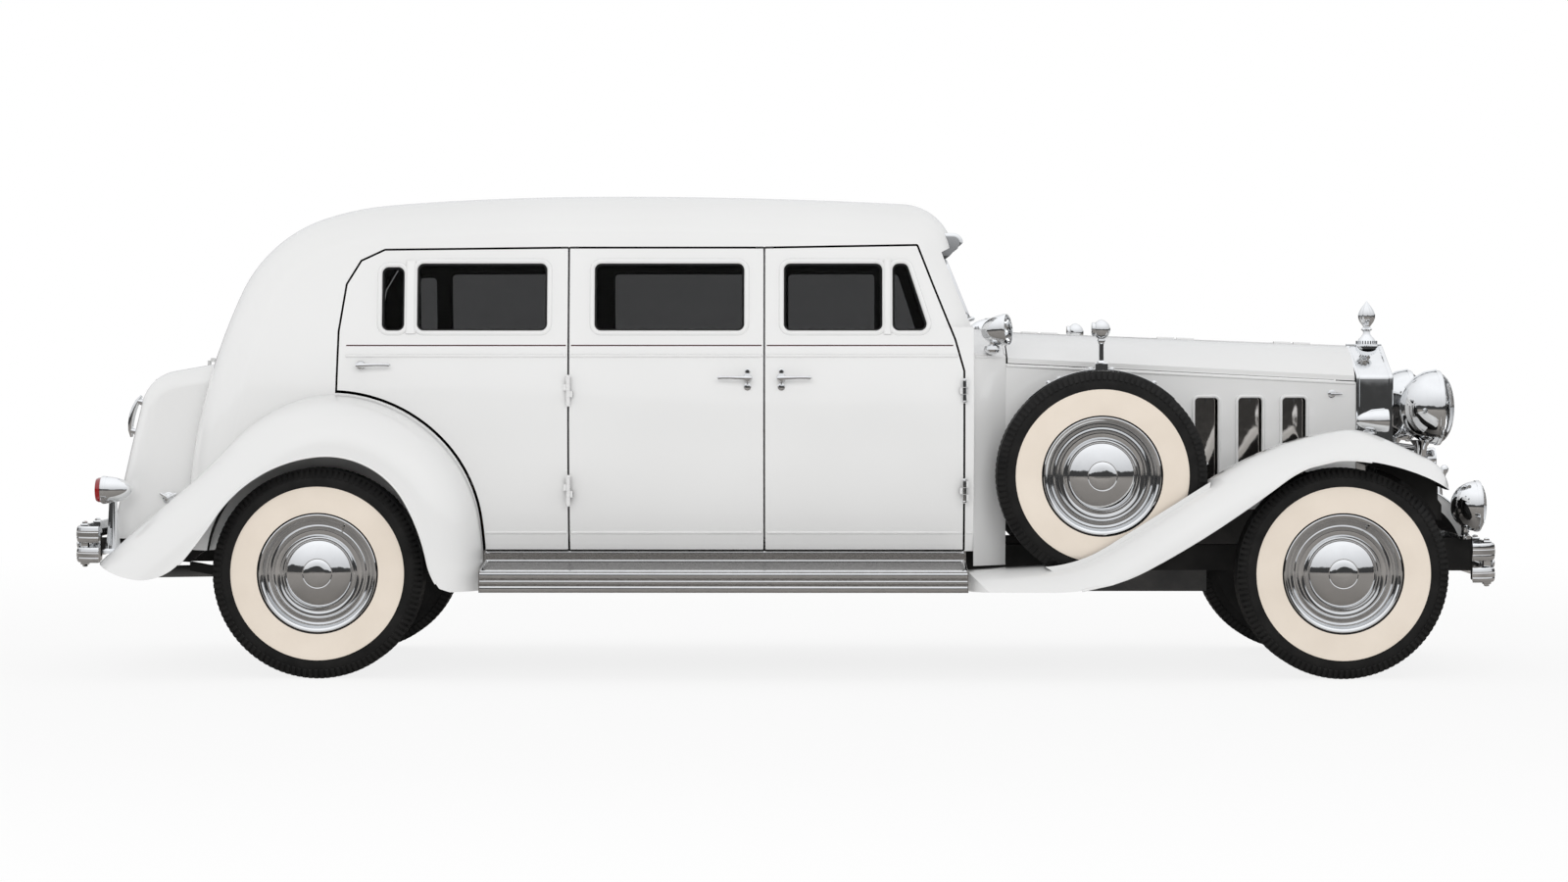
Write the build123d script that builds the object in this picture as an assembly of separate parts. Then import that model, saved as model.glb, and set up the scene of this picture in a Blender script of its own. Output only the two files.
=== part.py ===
"""Vintage six-door limousine hearse, as an assembly of separate pieces.

Millimetres. +X points forward, +Y to the car's left, +Z up. The origin is on the ground,
midway along and across the car. Pieces on the right (-Y) side are made first and mirrored.
"""
from build123d import *
from math import atan2, cos, hypot, pi, radians, sin
import os

# ---------------------------------------------------------------- driving dimensions
WALL = 50.0                 # thickness of the body's walls and roof
DOOR_THICKNESS = 44.0
DOOR_GAP = 8.0              # seam between two doors, and between a door and the body
SEAT_GAP = 0.3              # clearance between pieces that rest against each other
SHEET = 8.0                 # thickness of fenders and aprons
GLASS = 6.0

# body, seen from the side
BODY_FRONT_X = 735.0        # face that carries the cowl
BODY_FOOT_X = -2360.0       # rear end at the sill
SILL_Z = 488.0
BELT_Z = 1262.0             # height at which the side starts to lean inward
ROOF_Z = 1878.0
EAVES_FRONT = (465.0, 1848.0)
BROW_END = (664.0, 1655.0)
SCREEN_TOP = (612.0, 1655.0)
SCREEN_BOTTOM = (727.0, 1368.0)
COWL_TOP_Z = 1362.0

# body, seen from the front
BELT_HALF = 700.0
SILL_HALF = 640.0
LEAN = 94.0 / 738.0         # inward lean of the side above the belt
ROOF_EDGE_RADIUS = 165.0

# doors, X of the seams
SEAM_A_X = 698.0            # front door's hinge line
SEAM_B_X = -80.0
SEAM_C_X = -842.0           # hinge line shared by the middle and rear doors
REAR_DOOR_X = -1742.0
DOOR_BOTTOM_Z = 494.0
DOOR_TOP_Z = 1668.0
WINDOW_BOTTOM_Z = 1348.0
WINDOW_TOP_Z = 1610.0
WINDOW_RADIUS = 26.0

# door hinges
HINGE_Y = 727.0             # distance of the hinge axes from the centre plane
HINGE_HEIGHTS = (1114.0, 725.0)
HINGE_PIN_RADIUS = 5.0
KNUCKLE_RADIUS = 8.0
KNUCKLE_LENGTH = 26.0
PIN_CLEARANCE = 0.05

# wheels
WHEELBASE = 3964.0
REAR_AXLE_X = -1807.0
FRONT_AXLE_X = REAR_AXLE_X + WHEELBASE
TYRE_RADIUS = 408.0
TYRE_HALF_WIDTH = 87.5
RIM_RADIUS = 233.0
BEAD_RADIUS = 223.0         # the tyre's seat on the rim
WHEEL_Y = 735.0             # track is twice this
KINGPIN_Y = 650.0
STUB_RADIUS = 30.0
SPARE_CENTRE = (1230.0, 700.0, 784.0)
TYRE_FACETS = 60
FACET_COS = cos(pi / TYRE_FACETS)       # facet's distance from the axle over its corner's
TYRE_SECTION = [
    # distance from the tyre's middle plane, radius at the middle of a facet
    (-56.0, BEAD_RADIUS), (-TYRE_HALF_WIDTH, 315.0), (-80.0, 380.0), (-54.0, TYRE_RADIUS),
    (54.0, TYRE_RADIUS), (80.0, 380.0), (TYRE_HALF_WIDTH, 315.0), (56.0, BEAD_RADIUS),
]

# fenders
FRONT_FENDER_OUT = 880.0
FRONT_FENDER_IN = 520.0
FRONT_CROWN_RADIUS = 145.0
REAR_FENDER_OUT = 875.0
REAR_FENDER_IN = 560.0
REAR_CROWN_RADIUS = 200.0
BOARD_START_X = -1178.0
BOARD_END_X = 708.0
BOARD_TOP_Z = 418.0
BOARD_BOTTOM_Z = 338.0

# bonnet and radiator
BONNET_REAR_X = 868.0
BONNET_FRONT_X = 2276.0
RADIATOR_X = 2282.0
RADIATOR_DEPTH = 148.0
RADIATOR_HALF = 290.0
RADIATOR_SHOULDER_Z = 1171.0
RADIATOR_PEAK_Z = 1296.0
BONNET_SHEET = 20.0

# chassis
RAIL_IN = 340.0
RAIL_OUT = 415.0
RAIL_TOP_Z = 500.0
RAIL_BOTTOM_Z = 400.0
FLOOR = 20.0
RAISED_FLOOR_Z = 640.0

FAR = 3000.0                # larger than the car


# ---------------------------------------------------------------- helpers
def chain(start, heading, points):
    """Arcs that run smoothly on from start, leaving it at heading degrees, through points."""
    edges = []
    at = Vector(*start)
    along = Vector(cos(radians(heading)), sin(radians(heading)))
    for point in points:
        to = Vector(*point)
        straight = along.get_angle(to - at) < 0.3
        edge = Line(at, to) if straight else TangentArc(at, to, tangent=along)
        edges.append(edge)
        at, along = edge @ 1, edge % 1
    return edges


def close(edges, points):
    """Straight lines from the end of edges through points, back to the start."""
    corners = [edges[-1] @ 1] + [Vector(*p) for p in points] + [edges[0] @ 0]
    lines = [Line(a, b) for a, b in zip(corners, corners[1:])]
    return make_face(edges + lines)


def polygon(points, radius=0.0):
    """Flat face with straight sides and, where asked, rounded corners."""
    face = make_face(Polyline(*points, close=True))
    return fillet(face.vertices(), radius) if radius else face


def prism_y(face, y0, y1):
    """Side view outline (X, Z) made solid from y0 to y1."""
    return Pos(0, y0, 0) * extrude(Plane.XZ * face, amount=y1 - y0, dir=(0, 1, 0))


def prism_x(face, x0, x1):
    """Front view outline (Y, Z) made solid from x0 to x1."""
    return Pos(x0, 0, 0) * extrude(Plane.YZ * face, amount=x1 - x0, dir=(1, 0, 0))


def prism_z(face, z0, z1):
    """Plan outline (X, Y) made solid from z0 to z1."""
    return Pos(0, 0, z0) * extrude(face, amount=z1 - z0, dir=(0, 0, 1))


def block(x0, x1, y0, y1, z0, z1):
    """Box between two corners."""
    centre = ((x0 + x1) / 2, (y0 + y1) / 2, (z0 + z1) / 2)
    return Pos(*centre) * Box(abs(x1 - x0), abs(y1 - y0), abs(z1 - z0))


def rod(a, b, radius):
    """Round bar from point a to point b."""
    a, b = Vector(*a), Vector(*b)
    plane = Plane(origin=a, z_dir=b - a)
    return plane * Cylinder(radius, (b - a).length, align=(Align.CENTER, Align.CENTER, Align.MIN))


def turned(edges, at, toward):
    """Outline (distance along the axis, radius) revolved about the line from at toward."""
    solid = revolve(Plane.XZ * make_face(edges), axis=Axis.X)
    side = Vector(0, 0, 1) if abs(Vector(*toward).Z) < 0.9 else Vector(0, 1, 0)
    return Plane(origin=at, x_dir=Vector(*toward), z_dir=side.cross(Vector(*toward))) * solid


def both(shape):
    """The shape and its mirror image on the other side of the car."""
    return Part() + [shape, mirror(shape, about=Plane.XZ)]


# ---------------------------------------------------------------- body outlines
def body_profile():
    """Roof and curved back, from the sill at the rear, over the roof, to the cowl."""
    back = chain((-2143.0, 1490.0), 246.4, [(BODY_FOOT_X, SILL_Z)])
    roof = chain((-2143.0, 1490.0), 66.4, [
        (-1816.0, 1790.0),
        (-1563.0, 1843.0),
        (-1251.0, 1864.0),
        (-630.0, ROOF_Z),
        EAVES_FRONT,
        BROW_END,
        (702.0, 1500.0),
        (757.0, 1368.0),
        (785.0, 1250.0),
        (800.0, SILL_Z),
    ])
    return make_face(back + roof + [Line(roof[-1] @ 1, back[-1] @ 1)])


def body_section(inset):
    """Front view of the body: sides that lean in above the belt and curve in to the sill."""
    top = 2000.0
    upper = Line((BELT_HALF - LEAN * (top - BELT_Z) - inset, top), (BELT_HALF - inset, BELT_Z))
    lower = TangentArc(upper @ 1, (SILL_HALF - inset, 400.0), tangent=upper % 1)
    half = close([upper, lower], [(0.0, 400.0), (0.0, top)])
    return half + mirror(half, about=Plane.YZ)


def body_block(inset):
    """The body as a solid block, inset from its outer faces."""
    profile = body_profile()
    profile = offset(profile, amount=-inset) if inset else profile
    sides = prism_x(body_section(inset), -FAR, FAR)
    solid = prism_y(profile, -FAR / 2, FAR / 2) & sides
    foot = solid.bounding_box().min.Z
    edges = [
        edge for edge in solid.edges()
        if abs(edge.center().Y) > 450
        and edge.center().Z > foot + 5
        and abs((edge @ 0).Z - BELT_Z) + abs((edge @ 1).Z - BELT_Z) > 4
    ]
    solid = fillet(edges, ROOF_EDGE_RADIUS - 0.9 * inset)
    front = BODY_FRONT_X - inset
    post = sides & block(300, front, -FAR, FAR, SILL_Z + inset, COWL_TOP_Z - inset)
    solid = solid & block(-FAR, front, -FAR, FAR, 0, FAR)
    return solid + post


def ahead_of_screen(back_off):
    """Space in front of the windscreen's plane, moved back by back_off."""
    (x0, z0), (x1, z1) = SCREEN_TOP, SCREEN_BOTTOM
    x0, x1 = x0 - back_off, x1 - back_off
    slope = (x1 - x0) / (z0 - z1)
    outline = [(x0, z0), (x0 + 130, z0 + 70), (1200, z0 + 70), (1200, z1 - back_off),
               (x1 + slope * back_off, z1 - back_off)]
    return prism_y(polygon(outline), -FAR / 2, FAR / 2)


def rear_fender_outline():
    """Side view of the rear fender's crown, closed well below its lower edge."""
    crown = chain((-2720.0, 402.0), 42.4, [
        (-2630.0, 484.0),
        (-2365.0, 712.0),
        (-2163.0, 905.0),
        (-1915.0, 1075.0),
        (-1700.0, 1101.0),
        (-1344.0, 928.0),
        (-1190.0, 611.0),
        (BOARD_START_X, 425.0),
    ])
    return close(crown, [(BOARD_START_X, 120.0), (-2720.0, 120.0)])


def rear_fender_opening():
    """Everything below the rear fender's lower edge."""
    edge = chain((-2760.0, 437.0), 0.0, [(-2660.0, 437.0)])
    edge += chain((-2660.0, 437.0), -30.0, [
        (-2508.0, 386.0),
        (-2323.0, 459.0),
        (-2196.0, 628.0),
        (-1800.0, 864.0),
        (-1461.0, 688.0),
        (-1375.0, 455.0),
        (-1329.0, 352.0),
    ])
    return close(edge, [(-1290.0, BOARD_BOTTOM_Z), (-1000.0, BOARD_BOTTOM_Z),
                        (-1000.0, 0.0), (-2760.0, 0.0)])


def front_fender_outline():
    """Side view of the front fender's crown, closed well below its lower edge."""
    crown = chain((BOARD_END_X, 416.0), 3.5, [
        (1003.0, 434.0),
        (1245.0, 512.0),
        (1675.0, 783.0),
        (2150.0, 960.0),
        (2284.0, 945.0),
        (2492.0, 852.0),
        (2574.0, 716.0),
    ])
    return close(crown, [(2574.0, 120.0), (BOARD_END_X, 120.0)])


def front_fender_opening():
    """Everything below the front fender's lower edge."""
    edge = chain((600.0, BOARD_BOTTOM_Z), 0.0, [
        (1033.0, BOARD_BOTTOM_Z),
        (1400.0, 430.0),
        (1736.0, 635.0),
        (1920.0, 768.0),
        (2194.0, 849.0),
        (2532.0, 752.0),
    ])
    return close(edge, [(2700.0, 660.0), (2700.0, 0.0), (600.0, 0.0)])


# ---------------------------------------------------------------- doors
DOOR_OVER_FENDER = 12.0     # the rear door clears the fender's crown by this much
INNER_RELIEF = 14.0         # more room that the door's inner edge needs as it swings
OUTER_LAYER = 9.0           # depth of the door that keeps the narrow gap
CROWN_STRIP = 1.0           # height of the body's edge that shows above the fender
OUTER = body_block(0.0)
INNER = body_block(WALL)
REAR_CROWN = rear_fender_outline()
HINGE_STATIONS = [
    # x of the pin, doors whose knuckles it carries
    (SEAM_A_X, ("front",)),
    (SEAM_C_X, ("middle", "rear")),
]
KNUCKLE_PLAY = 0.4          # end clearance between neighbouring knuckles
ARM = 4.0                   # thickness of the plates that join knuckles to door and post


def right_cut(face):
    """A side view outline as a cutter on the right side only."""
    return prism_y(face, -FAR / 2, -300.0)


def knuckle_spans(z, count):
    """Heights (low, high) of the knuckles along one pin, from the bottom."""
    start = z - KNUCKLE_LENGTH * count / 2
    return [(start + i * KNUCKLE_LENGTH + KNUCKLE_PLAY / 2,
             start + (i + 1) * KNUCKLE_LENGTH - KNUCKLE_PLAY / 2) for i in range(count)]


def door_knuckles(name):
    """What a door's own hinge knuckles add to it, and the bores for the pins."""
    added, bores = Part(), Part()
    for x, carried in HINGE_STATIONS:
        if name not in carried:
            continue
        side = 1.0 if name == "middle" else -1.0
        for z in HINGE_HEIGHTS:
            low, high = knuckle_spans(z, len(carried) + 2)[1 + carried.index(name)]
            reach = x + side * (DOOR_GAP / 2 + 14.0)
            added += rod((x, -HINGE_Y, low), (x, -HINGE_Y, high), KNUCKLE_RADIUS)
            added += block(x + side * 2.0, reach, -HINGE_Y, -HINGE_Y + ARM, low, high)
            added += block(reach - side * ARM, reach, -HINGE_Y, -HINGE_Y + 45.0, low, high)
            bores += rod((x, -HINGE_Y, low - 5), (x, -HINGE_Y, high + 5),
                         HINGE_PIN_RADIUS + PIN_CLEARANCE)
    return added, bores


def body_hinges():
    """Pins, end knuckles and plates on the body for the right-hand doors."""
    made = Part()
    for x, carried in HINGE_STATIONS:
        count = len(carried) + 2
        for z in HINGE_HEIGHTS:
            spans = knuckle_spans(z, count)
            made += rod((x, -HINGE_Y, spans[0][0]), (x, -HINGE_Y, spans[-1][1]),
                        HINGE_PIN_RADIUS)
            for low, high in (spans[0], spans[-1]):
                made += rod((x, -HINGE_Y, low), (x, -HINGE_Y, high), KNUCKLE_RADIUS)
                if len(carried) == 2:
                    made += block(x - ARM / 2, x + ARM / 2, -HINGE_Y, -BELT_HALF + WALL + 12.0,
                                  low, high)
                else:
                    made += block(x, x + 16.0, -HINGE_Y, -HINGE_Y + ARM, low, high)
                    made += block(x + 12.0, x + 16.0, -HINGE_Y, -HINGE_Y + 45.0, low, high)
    return made


def door_table():
    """Door name, outline (X, Z) inside its seams, and its windows."""
    half = DOOR_GAP / 2
    a, b, c = SEAM_A_X, SEAM_B_X, SEAM_C_X
    low, top = WINDOW_BOTTOM_Z, WINDOW_TOP_Z
    return [
        ("front",
         [(b + half, DOOR_BOTTOM_Z), (a - half, DOOR_BOTTOM_Z), (a - half, 1190.0),
          (660.0, 1311.0), (572.0, 1530.0), (514.0, 1678.0), (b + half, DOOR_TOP_Z)],
         [[(-4.0, low), (380.0, low), (380.0, top), (-4.0, top)],
          [(419.0, low), (562.0, low), (476.0, top), (419.0, top)]]),
        ("middle",
         [(c + half, DOOR_BOTTOM_Z), (b - half, DOOR_BOTTOM_Z), (b - half, DOOR_TOP_Z),
          (c + half, DOOR_TOP_Z)],
         [[(-741.0, low), (-158.0, low), (-158.0, top), (-741.0, top)]]),
        ("rear",
         [(c - half, DOOR_BOTTOM_Z), (c - half, DOOR_TOP_Z), (-1560.0, DOOR_TOP_Z - 8),
          (-1650.0, 1618.0), (-1705.0, 1528.0), (-1734.0, 1345.0), (REAR_DOOR_X, 1090.0),
          (REAR_DOOR_X, DOOR_BOTTOM_Z)],
         [[(-1570.0, low), (-1483.0, low), (-1483.0, top - 14), (-1570.0, top - 14)],
          [(-1433.0, low), (-926.0, low), (-926.0, top), (-1433.0, top)]]),
    ]


def make_doors():
    """Right-hand doors and their glass: {name: (door, glass)}."""
    foot = SILL_HALF - WALL + 16.0
    shell = OUTER - body_block(DOOR_THICKNESS) - block(-FAR, FAR, -foot, foot, 300, 560)
    shell = shell - block(600, FAR, -foot, foot, 300, DASH_TOP_Z + 10)
    middle = (DOOR_THICKNESS - GLASS) / 2
    pane_layer = body_block(middle) - body_block(middle + GLASS)
    over_fender = right_cut(offset(REAR_CROWN, amount=DOOR_OVER_FENDER))
    swing_room = right_cut(offset(REAR_CROWN, amount=DOOR_OVER_FENDER + INNER_RELIEF))
    foot_in = SILL_HALF - OUTER_LAYER
    inner_layer = body_block(OUTER_LAYER) + block(-FAR, 0, -foot_in, foot_in, 0, DOOR_BOTTOM_Z + 20)
    over_fender += swing_room & inner_layer
    made = {}
    for name, outline, windows in door_table():
        door = shell & right_cut(polygon(outline, 3.0))
        if name == "rear":
            door = door - over_fender
        added, bores = door_knuckles(name)
        door = door + added - bores
        glass = []
        for corners in windows:
            window = polygon(corners, WINDOW_RADIUS)
            door = door - right_cut(window)
            glass.append(pane_layer & right_cut(offset(window, amount=-SEAT_GAP)))
        made[name] = (door, Part() + glass)
    return made


def door_apertures():
    """What the doors take out of the right side of the body."""
    cut = Part()
    for name, outline, _ in door_table():
        grown = offset(polygon(outline, 3.0), amount=DOOR_GAP, kind=Kind.INTERSECTION)
        hole = right_cut(grown)
        if name == "rear":
            hole = hole - right_cut(offset(REAR_CROWN, amount=CROWN_STRIP))
        cut += hole
    return cut


# ---------------------------------------------------------------- body
SCREEN_FRAME = 45.0         # thickness of the body behind the windscreen's plane
SCREEN_HALF_TOP = 520.0
SCREEN_HEADER = 38.0        # body left above the windscreen opening, and below it
SCREEN_FOOT = 26.0
SCREEN_RADIUS = 30.0
SCREEN_HALF_BOTTOM = 560.0
WHEELHOUSE_RADIUS = 462.0
WHEELHOUSE_IN = 594.0       # inner wall of the rear wheelhouse
HOOP = 42.0                 # depth of the posts and roof bows inside the wall
HOOPS = [(SEAM_B_X, 34.0), (SEAM_C_X, 34.0), (-1800.0, 30.0)]
STEP_X = -1290.0            # where the floor rises over the rear axle
DASH_TOP_Z = 1290.0
TAIL_HALF = 520.0           # the back wall is open below the raised floor, this far each way


def screen_prism(grow, back_off, depth):
    """Windscreen opening, square to its sloping plane."""
    (x0, z0), (x1, z1) = SCREEN_TOP, SCREEN_BOTTOM
    down = Vector(x1 - x0, 0, z1 - z0)
    plane = Plane(origin=(x0 - back_off, 0, z0), x_dir=(0, 1, 0), z_dir=down.cross(Vector(0, 1, 0)))
    length = down.length
    top, bottom = SCREEN_HALF_TOP + grow, SCREEN_HALF_BOTTOM + grow
    sign = 1 if plane.y_dir.Z > 0 else -1
    high = -sign * (SCREEN_HEADER - grow)
    low = -sign * (length - SCREEN_FOOT + grow)
    outline = polygon([(-top, high), (top, high), (bottom, low), (-bottom, low)], SCREEN_RADIUS)
    return extrude(plane * outline, amount=depth, both=True)


REAR_WINDOW = (330.0, 1330.0, 1560.0)       # half width, bottom and top
REAR_WINDOW_RADIUS = 60.0
BACK_X = (-2450.0, -1900.0)                 # reach of the cut for the rear window


def rear_window(grow):
    """Outline of the window in the curved back, seen from behind (Y, Z)."""
    half, low, high = REAR_WINDOW
    half, low, high = half + grow, low - grow, high + grow
    return polygon([(-half, low), (half, low), (half, high), (-half, high)], REAR_WINDOW_RADIUS)


def make_body():
    """Hollow body without doors, with its posts, roof bows and hinge pins."""
    inner = INNER - ahead_of_screen(SCREEN_FRAME)
    bottom = SILL_HALF - WALL
    inner = inner + block(BODY_FOOT_X + 90, BODY_FRONT_X - WALL, -bottom, bottom, 300, 560)
    inner = inner + block(500, BODY_FRONT_X + 1, -bottom - 20, bottom + 20, 300, DASH_TOP_Z)
    inner = inner + block(-FAR, BODY_FOOT_X + 200, -TAIL_HALF, TAIL_HALF, 300, RAISED_FLOOR_Z + 5)
    shell = OUTER - ahead_of_screen(0.0) - inner
    shell = shell - screen_prism(0.0, 0.0, 120.0)
    shell = shell - prism_x(rear_window(0.0), *BACK_X)
    shell = shell - both(door_apertures())
    shell = shell - both(block(-1160, SEAM_A_X, -FAR, -560, SILL_Z - 5, DOOR_BOTTOM_Z + 2))
    ring = INNER - body_block(WALL + HOOP)
    post_foot = SILL_HALF - WALL + 8.0
    for x, half in HOOPS:
        hoop = ring & block(x - half, x + half, -FAR, FAR, 700, FAR)
        foot_z = RAIL_TOP_Z if x > STEP_X else RAISED_FLOOR_Z
        foot = block(x - half, x + half, -post_foot, -post_foot + HOOP, foot_z + FLOOR + SEAT_GAP, 560)
        if x > STEP_X:
            hoop = hoop + (ring & block(x - half, x + half, -FAR, FAR, 540, 720)
                           - block(x - half - 1, x + half + 1, -post_foot + HOOP, post_foot - HOOP,
                                   500, 721)) + both(foot)
        shell = shell + hoop
    wheelhouse = rod((REAR_AXLE_X, -900, TYRE_RADIUS), (REAR_AXLE_X, -WHEELHOUSE_IN, TYRE_RADIUS),
                     WHEELHOUSE_RADIUS)
    lining = rod((REAR_AXLE_X, -900, TYRE_RADIUS),
                 (REAR_AXLE_X, -WHEELHOUSE_IN + SHEET, TYRE_RADIUS), WHEELHOUSE_RADIUS + SHEET)
    lining = lining & OUTER
    shell = shell + both(lining) - both(wheelhouse)
    return shell + both(body_hinges())


def make_body_glass():
    """Windscreen and rear window."""
    back = (SCREEN_FRAME - GLASS) / 2
    slab = ahead_of_screen(back) - ahead_of_screen(back - GLASS)
    screen = slab & screen_prism(-SEAT_GAP, 0.0, 120.0)
    middle = (WALL - GLASS) / 2
    layer = body_block(middle) - body_block(middle + GLASS)
    rear = layer & prism_x(rear_window(-SEAT_GAP), *BACK_X)
    return Part() + [screen, rear]


FLOOR_REAR_X = -2275.0


def make_floor():
    """Stepped floor, raised over the rear axle."""
    front_x, step_x = BODY_FRONT_X - WALL - 1, STEP_X
    outline = [(front_x, RAIL_TOP_Z), (step_x, RAIL_TOP_Z), (step_x, RAISED_FLOOR_Z),
               (FLOOR_REAR_X, RAISED_FLOOR_Z), (FLOOR_REAR_X, RAISED_FLOOR_Z + FLOOR),
               (step_x + FLOOR, RAISED_FLOOR_Z + FLOOR), (step_x + FLOOR, RAIL_TOP_Z + FLOOR),
               (front_x, RAIL_TOP_Z + FLOOR)]
    half = SILL_HALF - WALL - SEAT_GAP
    floor = prism_y(polygon(outline), -half, half)
    arch = rod((REAR_AXLE_X, -900, TYRE_RADIUS),
               (REAR_AXLE_X, -WHEELHOUSE_IN + SHEET + SEAT_GAP, TYRE_RADIUS),
               WHEELHOUSE_RADIUS + SHEET + SEAT_GAP)
    return floor - both(arch)


def make_cowl():
    """Scuttle between the windscreen and the bonnet, with its bulkhead."""
    def section(x, half, top, shoulder, inset):
        side = [(0.0, 430.0), (half - 25 - inset, 430.0), (half - inset, 800.0),
                (half - 4 - inset, shoulder - inset)]
        edges = [Line(a, b) for a, b in zip(side, side[1:])]
        edges.append(ThreePointArc(side[-1], (0.62 * half, shoulder + 0.68 * (top - shoulder) - inset),
                                   (0.0, top - inset)))
        face = make_face(edges + [Line((0.0, top - inset), (0.0, 430.0))])
        face = face + mirror(face, about=Plane.YZ)
        return Pos(x, 0, 0) * (Plane.YZ * face)
    rear = (BODY_FRONT_X, BELT_HALF - 6, COWL_TOP_Z, 1262.0)
    front = (BONNET_REAR_X - 3, BONNET_HALF_REAR, BONNET_TOP_REAR, BONNET_SHOULDER_REAR)
    outer = loft([section(*rear, 0.0), section(*front, 0.0)], ruled=True)
    inner = loft([section(*rear, 40.0), section(*front, 40.0)], ruled=True)
    inner = inner & block(BODY_FRONT_X - 1, front[0] - 14, -FAR, FAR, 0, FAR)
    rails = block(0, FAR, -RAIL_OUT - SEAT_GAP, RAIL_OUT + SEAT_GAP, 0, RAIL_TOP_Z + SEAT_GAP)
    return outer - inner - rails, outer


# ---------------------------------------------------------------- bonnet and radiator
BONNET_HALF_REAR = 596.0
BONNET_TOP_REAR = 1353.0
BONNET_SHOULDER_REAR = 1240.0
BONNET_HALF_FRONT = 287.0
BONNET_TOP_FRONT = 1298.0
BONNET_SHOULDER_FRONT = 1169.0
BONNET_BOTTOM_Z = 640.0
BONNET_ROD = 6.0            # radius of the hinge rod along the bonnet's ridge
BONNET_EAVE = 2.0           # the lids stand clear of the side panels by this much
VENTS = [(1623.0, 1715.0), (1799.0, 1894.0), (1979.0, 2074.0)]
VENT_TOPS = (1083.0, 760.0)


def bonnet_mix(x):
    """Half width, ridge height and shoulder height of the bonnet at x."""
    t = (x - BONNET_REAR_X) / (BONNET_FRONT_X - BONNET_REAR_X)
    pairs = [(BONNET_HALF_REAR, BONNET_HALF_FRONT), (BONNET_TOP_REAR, BONNET_TOP_FRONT),
             (BONNET_SHOULDER_REAR, BONNET_SHOULDER_FRONT)]
    return [a + (b - a) * t for a, b in pairs]


def bonnet_lid_section(x, drop):
    """Right half of a bonnet lid seen from the front, drop below the surface."""
    half, top, shoulder = bonnet_mix(x)
    inner_y, outer_y = -14.0, -half + 2.0
    bulge = (-0.62 * half, shoulder + 0.66 * (top - shoulder))
    upper = ThreePointArc((inner_y, top - 8.0), bulge, (outer_y, shoulder + 2))
    lower = ThreePointArc((outer_y, shoulder + 2 - drop), (bulge[0], bulge[1] - drop),
                          (inner_y, top - 8.0 - drop))
    face = make_face([upper, Line(upper @ 1, lower @ 0), lower, Line(lower @ 1, upper @ 0)])
    return Pos(x, 0, 0) * (Plane.YZ * face)


def ridge_point(x):
    """Centre of the bonnet's hinge rod at x."""
    return (x, 0.0, bonnet_mix(x)[1] - 10.0)


LID_KNUCKLE = 70.0          # length of a lid's knuckle on the ridge rod
LID_LEFT_SHIFT = 80.0       # the left lid's knuckles lie this much ahead of the right one's
LID_KNUCKLES_X = (958.0, 1512.0, 1986.0)


def make_bonnet_lid(shift):
    """Right-hand bonnet lid with its knuckles, moved along by shift, round the ridge rod."""
    front = BONNET_FRONT_X
    lid = loft([bonnet_lid_section(BONNET_REAR_X + 4, BONNET_SHEET),
                bonnet_lid_section(front, BONNET_SHEET)], ruled=True)
    rod_hole = rod(ridge_point(BONNET_REAR_X - 50), ridge_point(front + 50), BONNET_ROD + 2)
    lid = lid - rod_hole
    for x in LID_KNUCKLES_X:
        x = x + shift
        tube = rod(ridge_point(x), ridge_point(x + LID_KNUCKLE), BONNET_ROD + 5)
        lug = block(x + 2, x + LID_KNUCKLE - 2, -26, -4, ridge_point(x)[2] - 11,
                    ridge_point(x)[2] - 3)
        lid = lid + tube + lug
    bore = rod(ridge_point(BONNET_REAR_X - 50), ridge_point(front + 50), BONNET_ROD + PIN_CLEARANCE)
    return lid - bore


def make_bonnet_sides():
    """Right side panel of the bonnet with its vent openings."""
    def section(x, inset):
        half, _, shoulder = bonnet_mix(x)
        points = [(-half + inset, shoulder - 24), (-half + inset, BONNET_BOTTOM_Z),
                  (-half + inset + BONNET_SHEET, BONNET_BOTTOM_Z),
                  (-half + inset + BONNET_SHEET, shoulder - 24)]
        return Pos(x, 0, 0) * (Plane.YZ * polygon(points))
    side = loft([section(BONNET_REAR_X - 3, 0.0), section(RADIATOR_X - SEAT_GAP, 0.0)], ruled=True)
    for x0, x1 in VENTS:
        top, bottom = VENT_TOPS
        side = side - right_cut(polygon([(x0, bottom), (x1, bottom), (x1, top), (x0, top)], 12.0))
    return side


RADIATOR_BOTTOM_Z = 560.0
RADIATOR_FRAME = 38.0       # width of the shell's face round the slats
SLATS = 20
SLAT_HALF = 4.0             # half thickness of a slat
SLAT_BACK = 60.0            # depth of the solid core behind the slats
CAP_X = RADIATOR_X + 84.0


def radiator_outline(inset):
    """Gabled outline with soft shoulders, seen from the front (Y, Z)."""
    half, low = RADIATOR_HALF - inset, RADIATOR_BOTTOM_Z + inset
    slope = (RADIATOR_PEAK_Z - RADIATOR_SHOULDER_Z) / RADIATOR_HALF
    shoulder = RADIATOR_SHOULDER_Z - inset * (hypot(1, slope) - slope)
    peak = RADIATOR_PEAK_Z - inset * hypot(1, slope)
    return polygon([(-half, low), (half, low), (half, shoulder), (0, peak), (-half, shoulder)], 22.0)


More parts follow.
